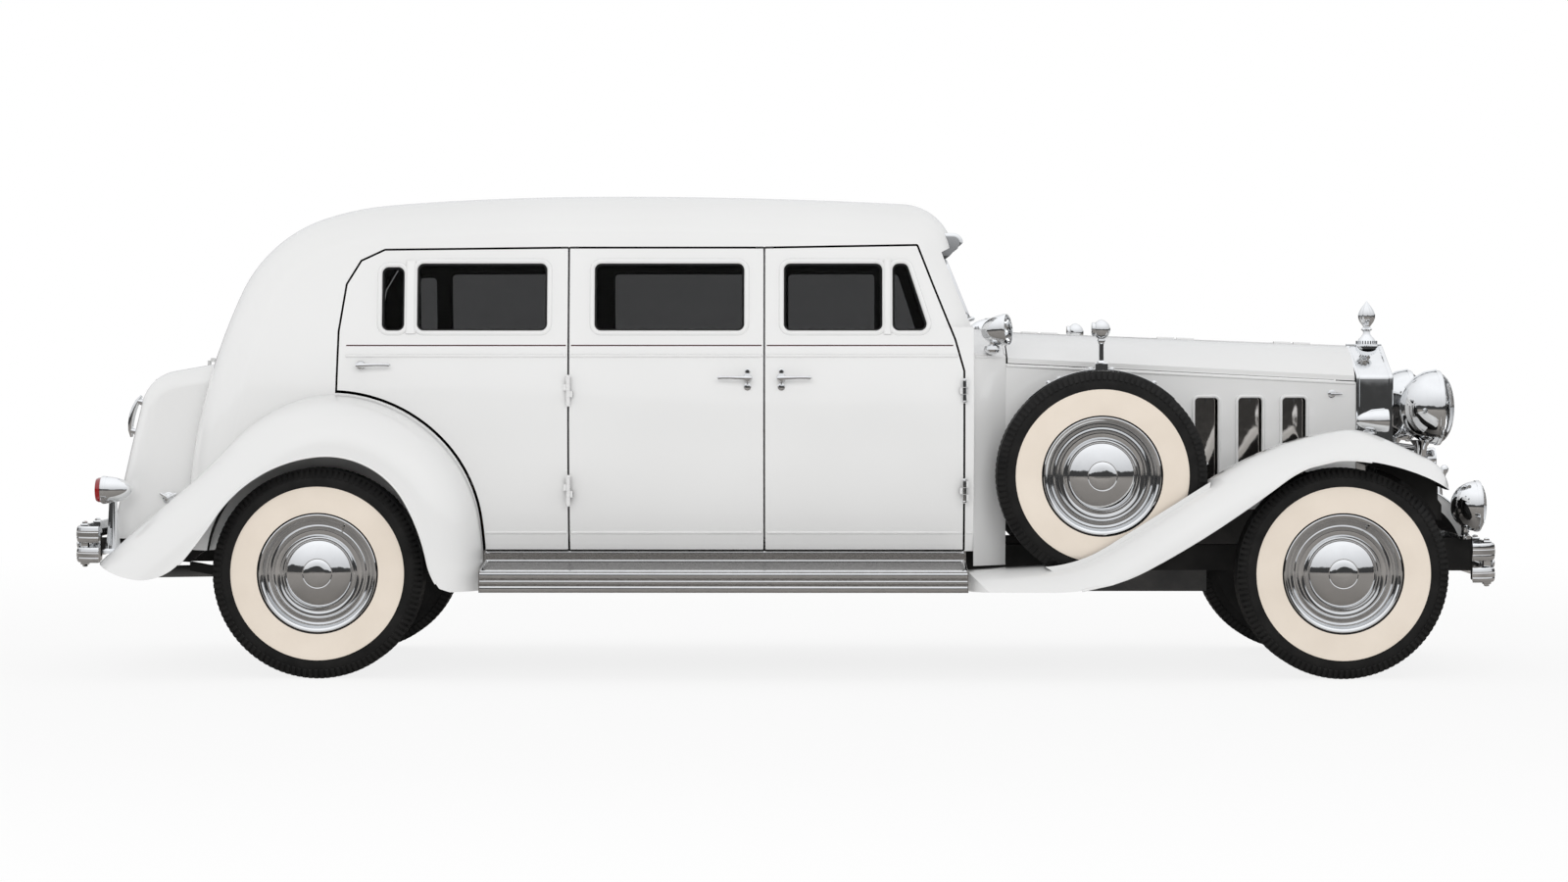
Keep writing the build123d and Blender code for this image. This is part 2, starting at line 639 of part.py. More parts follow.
def make_radiator():
    """Radiator shell with upright slats, cap and a plain plume for a finial."""
    front = RADIATOR_X + RADIATOR_DEPTH
    back = RADIATOR_X + SLAT_BACK
    body = prism_x(radiator_outline(0.0), RADIATOR_X, front)
    body = body - prism_x(radiator_outline(RADIATOR_FRAME), back, front + 10)
    half = RADIATOR_HALF - RADIATOR_FRAME
    pitch = 2 * half / (SLATS + 1)
    inside = prism_x(radiator_outline(RADIATOR_FRAME - 2), back - 2, front - 8)
    for i in range(1, SLATS + 1):
        y = i * pitch - half
        slat = block(back - 5, front - 12, y - SLAT_HALF, y + SLAT_HALF, 0, RADIATOR_PEAK_Z)
        body = body + (slat & inside)
    base = RADIATOR_PEAK_Z - 8
    for radius, height, middle in ((34.0, 40.0, 14.0), (26.0, 20.0, 40.0)):
        body = body + Pos(CAP_X, 0, base + middle) * Cylinder(radius, height)
    plume = make_face([Line((0, 0), (52, 0)), TangentArc((52, 0), (-10, 128), tangent=(-0.15, 1)),
                       TangentArc((-10, 128), (-30, 40), tangent=(-0.55, -0.84)),
                       Line((-30, 40), (0, 0))])
    finial = prism_y(plume, -7, 7)
    return body + Pos(CAP_X - 12, 0, base + 48) * finial


# ---------------------------------------------------------------- fenders
def fender_shell(outline, out, inner, radius, both_edges):
    """Hollow fender: side outline with rounded upper edges, open below."""
    def solid(inset):
        face = offset(outline, amount=-inset) if inset else outline
        body = prism_y(face, -out + inset, -inner - (inset if both_edges else -40))
        edges = []
        for edge in body.edges():
            middle = edge.center()
            on_out = abs(middle.Y + out - inset) < 1
            on_in = abs(middle.Y + inner + inset) < 1
            if (on_out or (both_edges and on_in)) and is_crown(edge, face):
                edges.append(edge)
        return fillet(edges, radius - inset)
    def is_crown(edge, face):
        low = face.bounding_box().min.Y + 1
        return edge.center().Z > low and (edge @ 0).Z + (edge @ 1).Z > 2 * low + 260
    return solid(0.0) - solid(SHEET)


SPARE_WELL = 14.0           # space beside the spare tyre in its well


def make_front_fender():
    """Right front fender with its catwalk and the well for the spare wheel."""
    x, y, z = SPARE_CENTRE
    outline = front_fender_outline()
    fender = fender_shell(outline, FRONT_FENDER_OUT, FRONT_FENDER_IN, FRONT_CROWN_RADIUS, True)
    well_in = y - TYRE_HALF_WIDTH - SPARE_WELL
    well_out = y + TYRE_HALF_WIDTH + SPARE_WELL
    radius = TYRE_RADIUS / FACET_COS + SEAT_GAP
    pocket = rod((x, -well_out, z), (x, -well_in, z), radius)
    under = prism_y(outline, -FRONT_FENDER_OUT + 2, -FRONT_FENDER_IN - 2)
    liner = rod((x, -well_out - 6, z), (x, -well_in + 6, z), radius + 6) & under
    fender = fender + liner - pocket
    walk_top = offset(outline, amount=-100.0)
    walk = prism_y(walk_top, -FRONT_FENDER_IN - SHEET, -RAIL_OUT + 20)
    walk = walk - prism_y(offset(outline, amount=-100.0 - SHEET), -FAR, FAR)
    walk = walk & block(1330, 2440, -FAR, FAR, 480, FAR)
    walk = walk - bonnet_space()
    fender = fender + walk
    lower = prism_y(front_fender_opening(), -FAR, -FRONT_FENDER_IN - SHEET - 1)
    inner = prism_y(front_fender_opening(), -FRONT_FENDER_IN - SHEET - 2, -FRONT_FENDER_IN + 1)
    fender = fender - lower - inner
    return fender


def bonnet_space():
    """Room that the bonnet and radiator take, with a little clearance."""
    def section(x):
        half = bonnet_mix(x)[0] + SEAT_GAP
        return Pos(x, 0, 0) * (Plane.YZ * polygon([(-half, 0), (half, 0), (half, 1500), (-half, 1500)]))
    return loft([section(BONNET_REAR_X), section(RADIATOR_X + RADIATOR_DEPTH)], ruled=True)


def make_rear_fender():
    """Right rear fender, trimmed to the side of the body."""
    fender = fender_shell(rear_fender_outline(), REAR_FENDER_OUT, REAR_FENDER_IN,
                          REAR_CROWN_RADIUS, False)
    tail = make_face([Line((-2668, -300), (-2668, -700)),
                      TangentArc((-2668, -700), (-2500, -880), tangent=(0, -1)),
                      Line((-2500, -880), (0, -880)), Line((0, -880), (0, -300)),
                      Line((0, -300), (-2668, -300))])
    fender = fender & prism_z(tail, 0, 1500)
    fender = fender - prism_y(rear_fender_opening(), -FAR, FAR)
    trunk = Pos(0, -SEAT_GAP, 0) * trunk_block(0.0)
    return fender - offset_body() - trunk


def offset_body():
    """The body, grown by the seat clearance, without its hollow."""
    return Pos(0, -SEAT_GAP, 0) * OUTER + Pos(0, SEAT_GAP, 0) * OUTER


def make_running_board():
    """Right running board with its kick plate under the doors."""
    board = polygon([(-878.0, BOARD_BOTTOM_Z), (-878.0, BOARD_TOP_Z), (-640.0, BOARD_TOP_Z + 31),
                     (-640.0, BOARD_TOP_Z + 7), (-850.0, BOARD_TOP_Z - 23), (-850.0, BOARD_BOTTOM_Z)])
    start, end = BOARD_START_X + SEAT_GAP, BOARD_END_X - SEAT_GAP
    made = prism_x(board, start, end)
    return made + block(start, end, -646, -640, BOARD_TOP_Z + 7, SILL_Z - SEAT_GAP)


# ---------------------------------------------------------------- trunk
TRUNK_HALF = 560.0
TRUNK_WALL = 34.0
TRUNK_BOTTOM_Z = 531.0
LID_HALF = 500.0
LID_TOP_X = -2292.0
LID_BOTTOM_Z = 610.0
LID_GAP = 6.0
LID_HINGE = (-2286.0, 1234.0)
LID_HINGE_Y = (300.0, 360.0)


def trunk_block(inset):
    """Built-in trunk behind the curved back."""
    top = chain((-2000.0, 1262.0), 190.0, [
        (-2410.0, 1190.0),
        (-2540.0, 1069.0),
        (-2662.0, TRUNK_BOTTOM_Z),
    ])
    face = close(top, [(-2000.0, TRUNK_BOTTOM_Z)])
    face = offset(face, amount=-inset) if inset else face
    solid = prism_y(face, -TRUNK_HALF + inset, TRUNK_HALF - inset)
    edges = [e for e in solid.edges()
             if abs(abs(e.center().Y) - TRUNK_HALF + inset) < 1
             and e.center().Z > TRUNK_BOTTOM_Z + inset + 2 and e.center().X < -2010 + inset]
    return fillet(edges, 70.0 - 0.9 * inset)


def make_trunk():
    """Trunk body and its lid, hinged along its upper front edge."""
    shell = trunk_block(0.0) - trunk_block(TRUNK_WALL)
    body = Pos(-SEAT_GAP, 0, 0) * OUTER
    shell = shell - body
    region = polygon([(LID_TOP_X, 1300), (LID_TOP_X, 1100), (-2420, LID_BOTTOM_Z + 120),
                      (-2480, LID_BOTTOM_Z), (-2800, LID_BOTTOM_Z), (-2800, 1300)])
    lid = shell & prism_y(region, -LID_HALF, LID_HALF)
    hole = offset(region, amount=LID_GAP, kind=Kind.INTERSECTION)
    trunk = shell - prism_y(hole, -LID_HALF - LID_GAP, LID_HALF + LID_GAP)
    x, z = LID_HINGE
    y0, y1 = LID_HINGE_Y
    third = (y1 - y0) / 3
    pin = rod((x, y0, z), (x, y1, z), HINGE_PIN_RADIUS)
    fixed = Part() + pin
    for a in (y0, y1 - third):
        fixed += rod((x, a, z), (x, a + third, z), KNUCKLE_RADIUS)
        fixed += block(x, x + 22, a, a + third, z - KNUCKLE_RADIUS, z - 2)
        fixed += block(x + 10, x + 22, a, a + third, z - 35, z - 2)
    a = y0 + third + KNUCKLE_PLAY
    b = y1 - third - KNUCKLE_PLAY
    moving = rod((x, a, z), (x, b, z), KNUCKLE_RADIUS)
    moving += block(x - 22, x, a, b, z - KNUCKLE_RADIUS, z - 2)
    moving += block(x - 22, x - 10, a, b, z - 35, z - 2)
    bore = rod((x, y0 - 5, z), (x, y1 + 5, z), HINGE_PIN_RADIUS + PIN_CLEARANCE)
    lid = lid + both(moving) - both(bore)
    return trunk + both(fixed), lid


# ---------------------------------------------------------------- chassis and running gear
AXLE_TUBE = 45.0
ENGINE_HALF = 190.0
BEAM_TOP_Z = 345.0
TRACK_END_Y = 610.0
RAIL_FRONT_X = 2560.0
RAIL_REAR_X = -2660.0
CROSSMEMBERS = [-2600.0, -1250.0, -500.0, 400.0, 2420.0]
OUTRIGGERS = [-1050.0, -300.0, 560.0]
BUMPER_X = 2773.0           # front face of the bumper, and of its twin behind the car
BUMPER_HALF = 780.0
BUMPER_BLADE = 16.0
BUMPER_SWEEP = 12.0         # how far the front face bows back before its ends wrap round
BUMPER_WRAP = 80.0          # width of each wrapped end
BUMPER_END_X = 2662.0
BUMPER_BOSS = 28.0          # depth of the bars that join the two blades
BUMPER_IRON_Y = 395.0
IRON = 20.0                 # thickness of the bumper irons
FRONT_IRON_Z = (398.0, 528.0)
REAR_IRON_Z = (466.0, 528.0)


def bumper_bow(y):
    """How far the bumper's face lies behind its middle."""
    return BUMPER_SWEEP * (y / (BUMPER_HALF - BUMPER_WRAP)) ** 2


def bumper_seat_x(x_face):
    """Where a bumper's inner boss meets the iron that carries it."""
    return x_face - bumper_bow(BUMPER_IRON_Y) - BUMPER_BLADE - BUMPER_BOSS


def make_chassis():
    """Ladder frame that rises over the rear axle, with its bumper irons."""
    rail = polygon([(RAIL_FRONT_X, RAIL_BOTTOM_Z), (RAIL_FRONT_X, RAIL_TOP_Z),
                    (-1300.0, RAIL_TOP_Z), (-1480.0, RAISED_FLOOR_Z), (-2180.0, RAISED_FLOOR_Z),
                    (-2330.0, TRUNK_BOTTOM_Z - SEAT_GAP), (RAIL_REAR_X, TRUNK_BOTTOM_Z - SEAT_GAP),
                    (RAIL_REAR_X, 450.0), (-2370.0, 430.0), (-2230.0, 540.0), (-1440.0, 540.0),
                    (-1250.0, RAIL_BOTTOM_Z)])
    rail = prism_y(rail, -RAIL_OUT, -RAIL_IN)
    frame = both(rail)
    for x in CROSSMEMBERS:
        low = 455.0 if x < -2000 else 425.0
        frame = frame + block(x - 30, x + 30, -RAIL_IN - 5, RAIL_IN + 5, low, low + 60)
    for x in OUTRIGGERS:
        arm = block(x - 25, x + 25, -850.0 + SEAT_GAP, -RAIL_IN - 20, 365.0, 395.0)
        riser = block(x - 25, x + 25, -RAIL_OUT - 1, -RAIL_IN - 20, 365.0, 430.0)
        frame = frame + both(arm + riser)
    low, high = FRONT_IRON_Z
    front_iron = block(RAIL_FRONT_X - 30, bumper_seat_x(BUMPER_X) - SEAT_GAP,
                       -BUMPER_IRON_Y - IRON / 2, -BUMPER_IRON_Y + IRON / 2, low, high)
    low, high = REAR_IRON_Z
    rear_iron = block(-bumper_seat_x(BUMPER_X) + SEAT_GAP, RAIL_REAR_X + 40,
                      -BUMPER_IRON_Y - IRON / 2, -BUMPER_IRON_Y + IRON / 2, low, high)
    return frame + both(front_iron) + both(rear_iron)


def make_engine():
    """Engine and gearbox as one plain block between the rails."""
    engine = block(1020.0, 2120.0, -ENGINE_HALF, ENGINE_HALF, 420.0, 1010.0)
    sump = block(1150.0, 1700.0, -150.0, 150.0, 300.0, 430.0)
    gearbox = block(480.0, 1030.0, -130.0, 130.0, 330.0, 480.0)
    feet = block(1200.0, 1260.0, -RAIL_IN + SEAT_GAP, RAIL_IN - SEAT_GAP, 440.0, 480.0)
    rear_feet = block(600.0, 660.0, -RAIL_IN + SEAT_GAP, RAIL_IN - SEAT_GAP, 410.0, 450.0)
    return engine + sump + gearbox + feet + rear_feet


def leaf(front, middle, rear):
    """One leaf spring pack as a bowed bar, seen from the side."""
    thick = 34.0
    top = ThreePointArc(front, middle, rear)
    low = ThreePointArc((rear[0], rear[1] - thick), (middle[0], middle[1] - thick),
                        (front[0], front[1] - thick))
    return make_face([top, Line(top @ 1, low @ 0), low, Line(low @ 1, top @ 0)])


def make_front_axle():
    """Dropped beam axle on its two leaf springs."""
    beam = polygon([(-TRACK_END_Y, 430.0), (-TRACK_END_Y, 385.0), (-500.0, 385.0), (-430.0, 300.0),
                    (430.0, 300.0), (500.0, 385.0), (TRACK_END_Y, 385.0), (TRACK_END_Y, 430.0),
                    (480.0, 430.0), (420.0, BEAM_TOP_Z), (-420.0, BEAM_TOP_Z), (-480.0, 430.0)])
    x = FRONT_AXLE_X
    axle = prism_x(beam, x - 32, x + 32)
    eye = rod((x, -KINGPIN_Y, 372.0), (x, -KINGPIN_Y, 444.0), 34.0)
    eye += block(x - 28, x + 28, -KINGPIN_Y, -TRACK_END_Y + 10, 385.0, 430.0)
    pin = rod((x, -KINGPIN_Y, 340.0), (x, -KINGPIN_Y, 476.0), 14.0)
    spring = leaf((x + 370, RAIL_BOTTOM_Z + 8), (x, BEAM_TOP_Z + 33), (x - 370, RAIL_BOTTOM_Z))
    spring = prism_y(spring, -RAIL_OUT + 8, -RAIL_IN - 8)
    frame_space = block(0, FAR, -FAR, FAR, RAIL_BOTTOM_Z - SEAT_GAP, RAIL_BOTTOM_Z + 200)
    return axle + both(eye + pin) + both(spring - frame_space)


def make_knuckle():
    """Right steering knuckle: a yoke on the kingpin and the stub axle."""
    x = FRONT_AXLE_X
    yoke = block(x - 30, x + 30, -KINGPIN_Y - 54, -KINGPIN_Y + 34, 444.4, 474.0)
    yoke += block(x - 30, x + 30, -KINGPIN_Y - 54, -KINGPIN_Y + 34, 342.0, 371.6)
    yoke += block(x - 30, x + 30, -KINGPIN_Y - 54, -KINGPIN_Y - 38, 342.0, 474.0)
    yoke += rod((x, -KINGPIN_Y - 50, TYRE_RADIUS), (x, -WHEEL_Y - 40, TYRE_RADIUS), STUB_RADIUS)
    arm = block(x - 190, x - 20, -KINGPIN_Y - 12, -KINGPIN_Y + 12, 345.0, 369.0)
    bore = rod((x, -KINGPIN_Y, 300.0), (x, -KINGPIN_Y, 500.0), 14.0 + PIN_CLEARANCE)
    return yoke + arm - bore


def make_rear_axle():
    """Live axle with its torque tube, slung over two leaf springs."""
    x, z = REAR_AXLE_X, TYRE_RADIUS
    axle = rod((x, -TRACK_END_Y, z), (x, TRACK_END_Y, z), AXLE_TUBE)
    axle += rod((x, -130, z), (x, 130, z), 135.0)
    axle += rod((x, 0, z), (-60.0, 0, 412.0), 40.0)
    stub = rod((x, -TRACK_END_Y + 10, z), (x, -WHEEL_Y - 40, z), STUB_RADIUS)
    spring = leaf((-1290.0, RAIL_BOTTOM_Z - SEAT_GAP), (x, z - AXLE_TUBE + 6),
                  (-2370.0, 430.0 - SEAT_GAP))
    spring = prism_y(spring, -RAIL_OUT + 8, -RAIL_IN - 8)
    return axle + both(stub + spring) - CHASSIS


def wheel_edges():
    """Half section of a pressed disc wheel (distance out from the wheel's plane, radius)."""
    seat = BEAD_RADIUS - SEAT_GAP
    return [(-55.0, 196.0), (-55.0, seat), (66.0, seat), (67.0, RIM_RADIUS), (75.0, RIM_RADIUS),
            (75.0, 224.0), (60.0, 212.0), (40.0, 206.0), (34.0, 176.0), (46.0, 168.0),
            (46.0, 150.0), (36.0, 142.0), (42.0, 118.0), (66.0, 92.0), (84.0, 60.0), (90.0, 0.0),
            (60.0, 0.0), (60.0, STUB_RADIUS + SEAT_GAP), (-20.0, STUB_RADIUS + SEAT_GAP),
            (-20.0, 70.0), (10.0, 100.0), (14.0, 196.0)]


def make_wheel(x, y, z):
    """Wheel whose outer face looks away from the car's centre plane."""
    points = wheel_edges()
    lines = [Line(a, b) for a, b in zip(points, points[1:] + points[:1])]
    side = 1.0 if y > 0 else -1.0
    return turned(lines, (x, y, z), (0, side, 0))


def make_tyre(x, y, z):
    """Tyre with a plain tread, built of flat facets so that its mesh stays small."""
    rings = []
    for i in range(TYRE_FACETS):
        angle = (i + 0.5) * 2 * pi / TYRE_FACETS
        rings.append([Vector(x + r * sin(angle) / FACET_COS, y + out, z + r * cos(angle) / FACET_COS)
                      for out, r in TYRE_SECTION])
    faces = []
    for ring, after in zip(rings, rings[1:] + rings[:1]):
        for a, b, c, d in zip(ring, ring[1:] + ring[:1], after[1:] + after[:1], after):
            faces.append(make_face(Polyline(a, b, c, d, close=True)))
    return Solid(Shell(faces))


WHEEL_PLACES = {
    "front_right": (FRONT_AXLE_X, -WHEEL_Y, TYRE_RADIUS),
    "front_left": (FRONT_AXLE_X, WHEEL_Y, TYRE_RADIUS),
    "rear_right": (REAR_AXLE_X, -WHEEL_Y, TYRE_RADIUS),
    "rear_left": (REAR_AXLE_X, WHEEL_Y, TYRE_RADIUS),
}


def make_exhaust():
    """Pipe from the engine's side, silencer, and tail pipe over the rear axle."""
    bore, low, high = 24.0, 360.0, 590.0
    y = -ENGINE_HALF - bore - SEAT_GAP
    path = FilletPolyline((1500, y, 520), (1150, y, 520), (900, y, low), (-1300, y, low),
                          (-1560, y, high), (-2060, y, high), (-2270, y, 385), (-2620, y, 380),
                          radius=110)
    pipe = sweep(Plane(origin=path @ 0, z_dir=path % 0) * Circle(bore), path=path)
    return pipe + rod((-560, y, low), (-1180, y, low), 56.0)


def make_tank():
    """Fuel tank under the trunk, between the rails."""
    return block(-2560.0, -2250.0, -RAIL_IN + 180, RAIL_IN - SEAT_GAP, 420.0, 525.0)


# ---------------------------------------------------------------- lamps, bumpers and trim
def cap(pole, x, radius):
    """Spherical cap as an arc from its pole on the axis to (x, radius)."""
    centre = (x * x + radius * radius - pole * pole) / (2 * (x - pole))
    reach = pole - centre
    turn = atan2(radius, x - centre) if reach > 0 else pi - atan2(radius, x - centre)
    half = turn / 2
    middle = (centre + reach * cos(half), abs(reach) * sin(half))
    return ThreePointArc((pole, 0.0), middle, (x, radius))


def lamp_edges(length, radius, lens):
    """Bullet-shaped lamp: domed lens ahead of the rim, round bowl behind it."""
    bowl = cap(-length, -0.34 * length, 0.88 * radius)
    glass = cap(lens, 0.0, 0.92 * radius)
    return [bowl, Line(bowl @ 1, (0.0, radius)), Line((0.0, radius), (0.0, 0.92 * radius)),
            glass, Line((lens, 0.0), (-length, 0.0))]


HEADLAMP = (2592.0, 350.0, 1043.0)
LAMP_BASE_Z = 520.0         # top of the plates that carry the headlamp posts
SIDE_LAMP = (2330.0, 700.0, 998.0)
FOG_LAMP = (2723.0, 500.0, 658.0)
SPOT_LAMP = (858.0, 668.0, 1351.0)
TAIL_LAMP = (-2660.0, 640.0, 725.0)


def make_headlamps():
    """Pair of headlamps on posts, joined by a bar."""
    x, y, z = HEADLAMP
    lamp = turned(lamp_edges(146.0, 149.0, 68.0), (x, -y, z), (1, 0, 0))
    post = rod((x - 62, -y, 830.0), (x - 62, -y, z - 100), 17.0)
    base = block(x - 120, x - 10, -y - 30, -y + 40, RAIL_TOP_Z + SEAT_GAP,
                 LAMP_BASE_Z)
    post += rod((x - 62, -y, 510.0), (x - 62, -y, 840.0), 14.0)
    bar = rod((x - 62, -y, 880.0), (x - 62, y, 880.0), 12.0)
    return both(lamp + post + base) + bar


def make_small_lamps():
    """Fender lamps, fog lamps and cowl spot lamps, each on its stem."""
    x, y, z = SIDE_LAMP
    side = turned(lamp_edges(110.0, 45.0, 18.0), (x, -y, z), (1, 0, 0))
    side += rod((x - 60, -y, 951.0), (x - 60, -y, z - 20), 12.0)
    x, y, z = FOG_LAMP
    fog = turned(lamp_edges(100.0, 101.0, 38.0), (x, -y, z), (1, 0, 0))
    seat_z = FRONT_IRON_Z[1] + SEAT_GAP
    fog += rod((x - 45, -y, seat_z + 6), (x - 45, -y, z - 60), 12.0)
    fog += block(x - 61, x - 29, -y - 16, -BUMPER_IRON_Y + IRON / 2, seat_z, seat_z + 12)
    x, y, z = SPOT_LAMP
    spot = turned(lamp_edges(96.0, 62.0, 18.0), (x, -y, z), (1, 0, 0))
    spot += rod((x - 50, -y, 1270.0), (x - 50, -y, z - 30), 10.0)
    spot += rod((x - 50, -y, 1270.0), (x - 60, -BELT_HALF + 60, 1235.0), 10.0)
    return side, fog, spot


def bumper_edge(inset):
    """Plan of a bumper blade's face: a gentle bow whose ends wrap round."""
    bend_y = BUMPER_HALF - BUMPER_WRAP
    bend_x = BUMPER_X - BUMPER_SWEEP - inset
    bow = ThreePointArc((bend_x, -bend_y), (BUMPER_X - inset, 0.0), (bend_x, bend_y))
    left = TangentArc(bow @ 1, (BUMPER_END_X, BUMPER_HALF - inset), tangent=bow % 1)
    right = TangentArc(bow @ 0, (BUMPER_END_X, inset - BUMPER_HALF), tangent=(bow % 0) * -1)
    return right, bow, left


def make_bumper(blades, bars):
    """Front bumper: two curved blades, each (low, high), joined by upright bars."""
    made = Part()
    outer, inner = bumper_edge(0.0), bumper_edge(BUMPER_BLADE)
    ends = [Line(a @ 1, b @ 1) for a, b in zip(outer[::2], inner[::2])]
    face = make_face([*outer, *inner, *ends])
    for low, high in blades:
        made += prism_z(face, low, high)
    for y in (BUMPER_IRON_Y, BUMPER_HALF - BUMPER_WRAP - 15.0):
        front = BUMPER_X - bumper_bow(y) - BUMPER_BLADE
        made += both(block(front - BUMPER_BOSS, front + 3, -y - 18, -y + 18, *bars))
    return made


def make_front_bumper():
    """Front bumper in its place."""
    return make_bumper(((372.0, 430.0), (456.0, 524.0)), (362.0, 532.0))


def make_rear_bumper():
    """Rear bumper, the front one's form turned about."""
    return mirror(make_bumper(((446.0, 505.0), (524.0, 588.0)), (436.0, 596.0)), about=Plane.YZ)


APRON_HALF = 366.0
APRON_TOP = (2553.0, 718.0)
APRON_FOOT = (2722.0, 530.0)
APRON_HEADING = (1.0, -0.3)
BRACKET = (20.0, 10.0)      # length and thickness of the plates that carry the apron


def make_front_apron():
    """Curved splash apron between the fenders, on two plates from the headlamps' bases."""
    (x0, z0), (x1, z1) = APRON_TOP, APRON_FOOT
    outer = TangentArc(APRON_TOP, APRON_FOOT, tangent=APRON_HEADING)
    inner = TangentArc((x0, z0 - SHEET), (x1 - SHEET, z1), tangent=APRON_HEADING)
    sheet = make_face([outer, inner, Line(outer @ 0, inner @ 0), Line(outer @ 1, inner @ 1)])
    length, thick = BRACKET
    foot_z = LAMP_BASE_Z + SEAT_GAP
    plate = block(x0, x0 + length, -HEADLAMP[1] - thick, -HEADLAMP[1], foot_z, z0)
    plate = plate & prism_y(close([outer], [(x1, foot_z), (x0, foot_z)]), -FAR, FAR)
    return prism_y(sheet, -APRON_HALF, APRON_HALF) + both(plate)


def make_tail_lamps():
    """Bullet tail lamps on stalks from the rear fenders."""
    x, y, z = TAIL_LAMP
    lamp = turned(lamp_edges(106.0, 54.0, 12.0), (x, -y, z), (-1, 0, 0))
    lamp += rod((x + 30, -y, 440.0), (x + 30, -y, z - 20), 14.0)
    lamp += Pos(x + 30, -y, 536.0) * Cone(30.0, 14.0, 150.0)
    fender = prism_y(offset(REAR_CROWN, amount=SEAT_GAP), -FAR, FAR)
    return both(lamp - fender)


VISOR_HALF = 556.0
VISOR_DROP = 13.0           # how far the visor hangs below the brow


def make_visor():
    """Sun visor across the top of the windscreen, rounded at its front edge."""
    x, z = BROW_END
    top = Line((x - 110, z + 79), (x - 4, z + 77))
    nose = TangentArc(top @ 1, (x + 35, z + 45), tangent=top % 1)
    face = close([top, nose], [(x - 18, z - VISOR_DROP), (x - 36, z - VISOR_DROP), (x - 110, z + 10)])
    visor = prism_y(face, -VISOR_HALF, VISOR_HALF)
    ends = [e for e in visor.edges().filter_by(GeomType.CIRCLE)]
    visor = fillet(ends, 14.0)
    brow = OUTER - ahead_of_screen(0.0)
    return visor - Pos(SEAT_GAP, 0, 0) * brow - Pos(0, 0, SEAT_GAP) * brow - Pos(0, 0, -SEAT_GAP) * brow


STRAP_REACH = 283.0         # how far the spare's strap runs fore and aft
STRAP_HALF = 60.0
STRAP = 6.0


def make_mirrors():
    """Round mirrors on the straps that hold the spare tyres down."""
    x, y, z = SPARE_CENTRE
    inside = TYRE_RADIUS / FACET_COS + SEAT_GAP
    outside = inside + STRAP
    back = cap(34.0, -8.0, 40.0)
    head = turned([back, Line((-8, 40), (-8, 0)), Line((-8, 0), (34, 0))],
                  (x, -y, 1353.0), (1, 0, 0))
    stem = rod((x, -y, z + inside + 1), (x, -y, 1330.0), 9.0)
    strap = rod((x, -y - STRAP_HALF, z), (x, -y + STRAP_HALF, z), outside)
    strap -= rod((x, -FAR, z), (x, FAR, z), inside)
    strap &= block(x - STRAP_REACH, x + STRAP_REACH, -FAR, FAR, z, FAR)
    return both(head + stem + strap)


# ---------------------------------------------------------------- cabin
def seat(x0, x1, z_cushion, z_back):
    """Bench seat: cushion and leaning back."""
    half = 545.0
    base = RAIL_TOP_Z + FLOOR + SEAT_GAP
    cushion = block(x0, x1, -half, half, base, z_cushion)
    back = polygon([(x0, z_cushion - 20), (x0 + 130, z_cushion - 20), (x0 + 30, z_back),
                    (x0 - 80, z_back)])
    return fillet(cushion.edges().filter_by(Axis.Y), 30.0) + prism_y(back, -half, half)


def make_seats():
    """Front bench."""
    return seat(-60.0, 430.0, 850.0, 1290.0)


DECK_REAR_X = -2180.0
DECK_FRONT_X = -200.0
DECK_HALF = 520.0
DECK_Z = 720.0              # underside of the casket deck
DECK_BOARD = 24.0
RUNNER = 12.0               # height of the strips that the casket slides on
RUNNERS_Y = (-300.0, 0.0, 300.0)
TRESTLES_X = (-2100.0, -1700.0, -1330.0, -1180.0, -720.0, -260.0)


def make_deck():
    """Casket deck on its trestles, with the strips that a casket slides on."""
    board_top = DECK_Z + DECK_BOARD
    deck = block(DECK_REAR_X, DECK_FRONT_X, -DECK_HALF, DECK_HALF, DECK_Z, board_top)
    for x in TRESTLES_X:
        floor_z = RAISED_FLOOR_Z if x < STEP_X else RAIL_TOP_Z
        base = floor_z + FLOOR + SEAT_GAP
        deck += block(x - 30, x + 30, -DECK_HALF + 20, DECK_HALF - 20, base, DECK_Z + 1)
    for y in RUNNERS_Y:
        deck += block(DECK_REAR_X + 20, DECK_FRONT_X - 20, y - 20, y + 20,
                      board_top - 1, board_top + RUNNER)
    return deck


STEER_TILT = 28.0           # column's rise above level, in degrees
STEER_CENTRE = (430.0, 330.0, 1130.0)
STEER_RADIUS = 215.0
HUB_LENGTH = 50.0


def make_dashboard():
    """Instrument board under the windscreen, with the steering column."""
    top = DASH_TOP_Z - SEAT_GAP
    board = polygon([(640.0, 1120.0), (676.0, top), (BODY_FRONT_X - SEAT_GAP, top),
                     (BODY_FRONT_X - SEAT_GAP, 1090.0), (700.0, 1090.0)])
    made = prism_y(board, -600.0, 600.0)
    x, y, z = STEER_CENTRE
    run = 290.0
    along = Vector(cos(radians(STEER_TILT)), 0, -sin(radians(STEER_TILT)))
    a = Vector(x, y, z) + along * (HUB_LENGTH / 2 + SEAT_GAP)
    b = Vector(x, y, z) + along * run
    bracket = block(655.0, 700.0, y - 40, y + 40, b.Z - 10, 1092.0)
    return made + rod(a, b, 22.0) + bracket


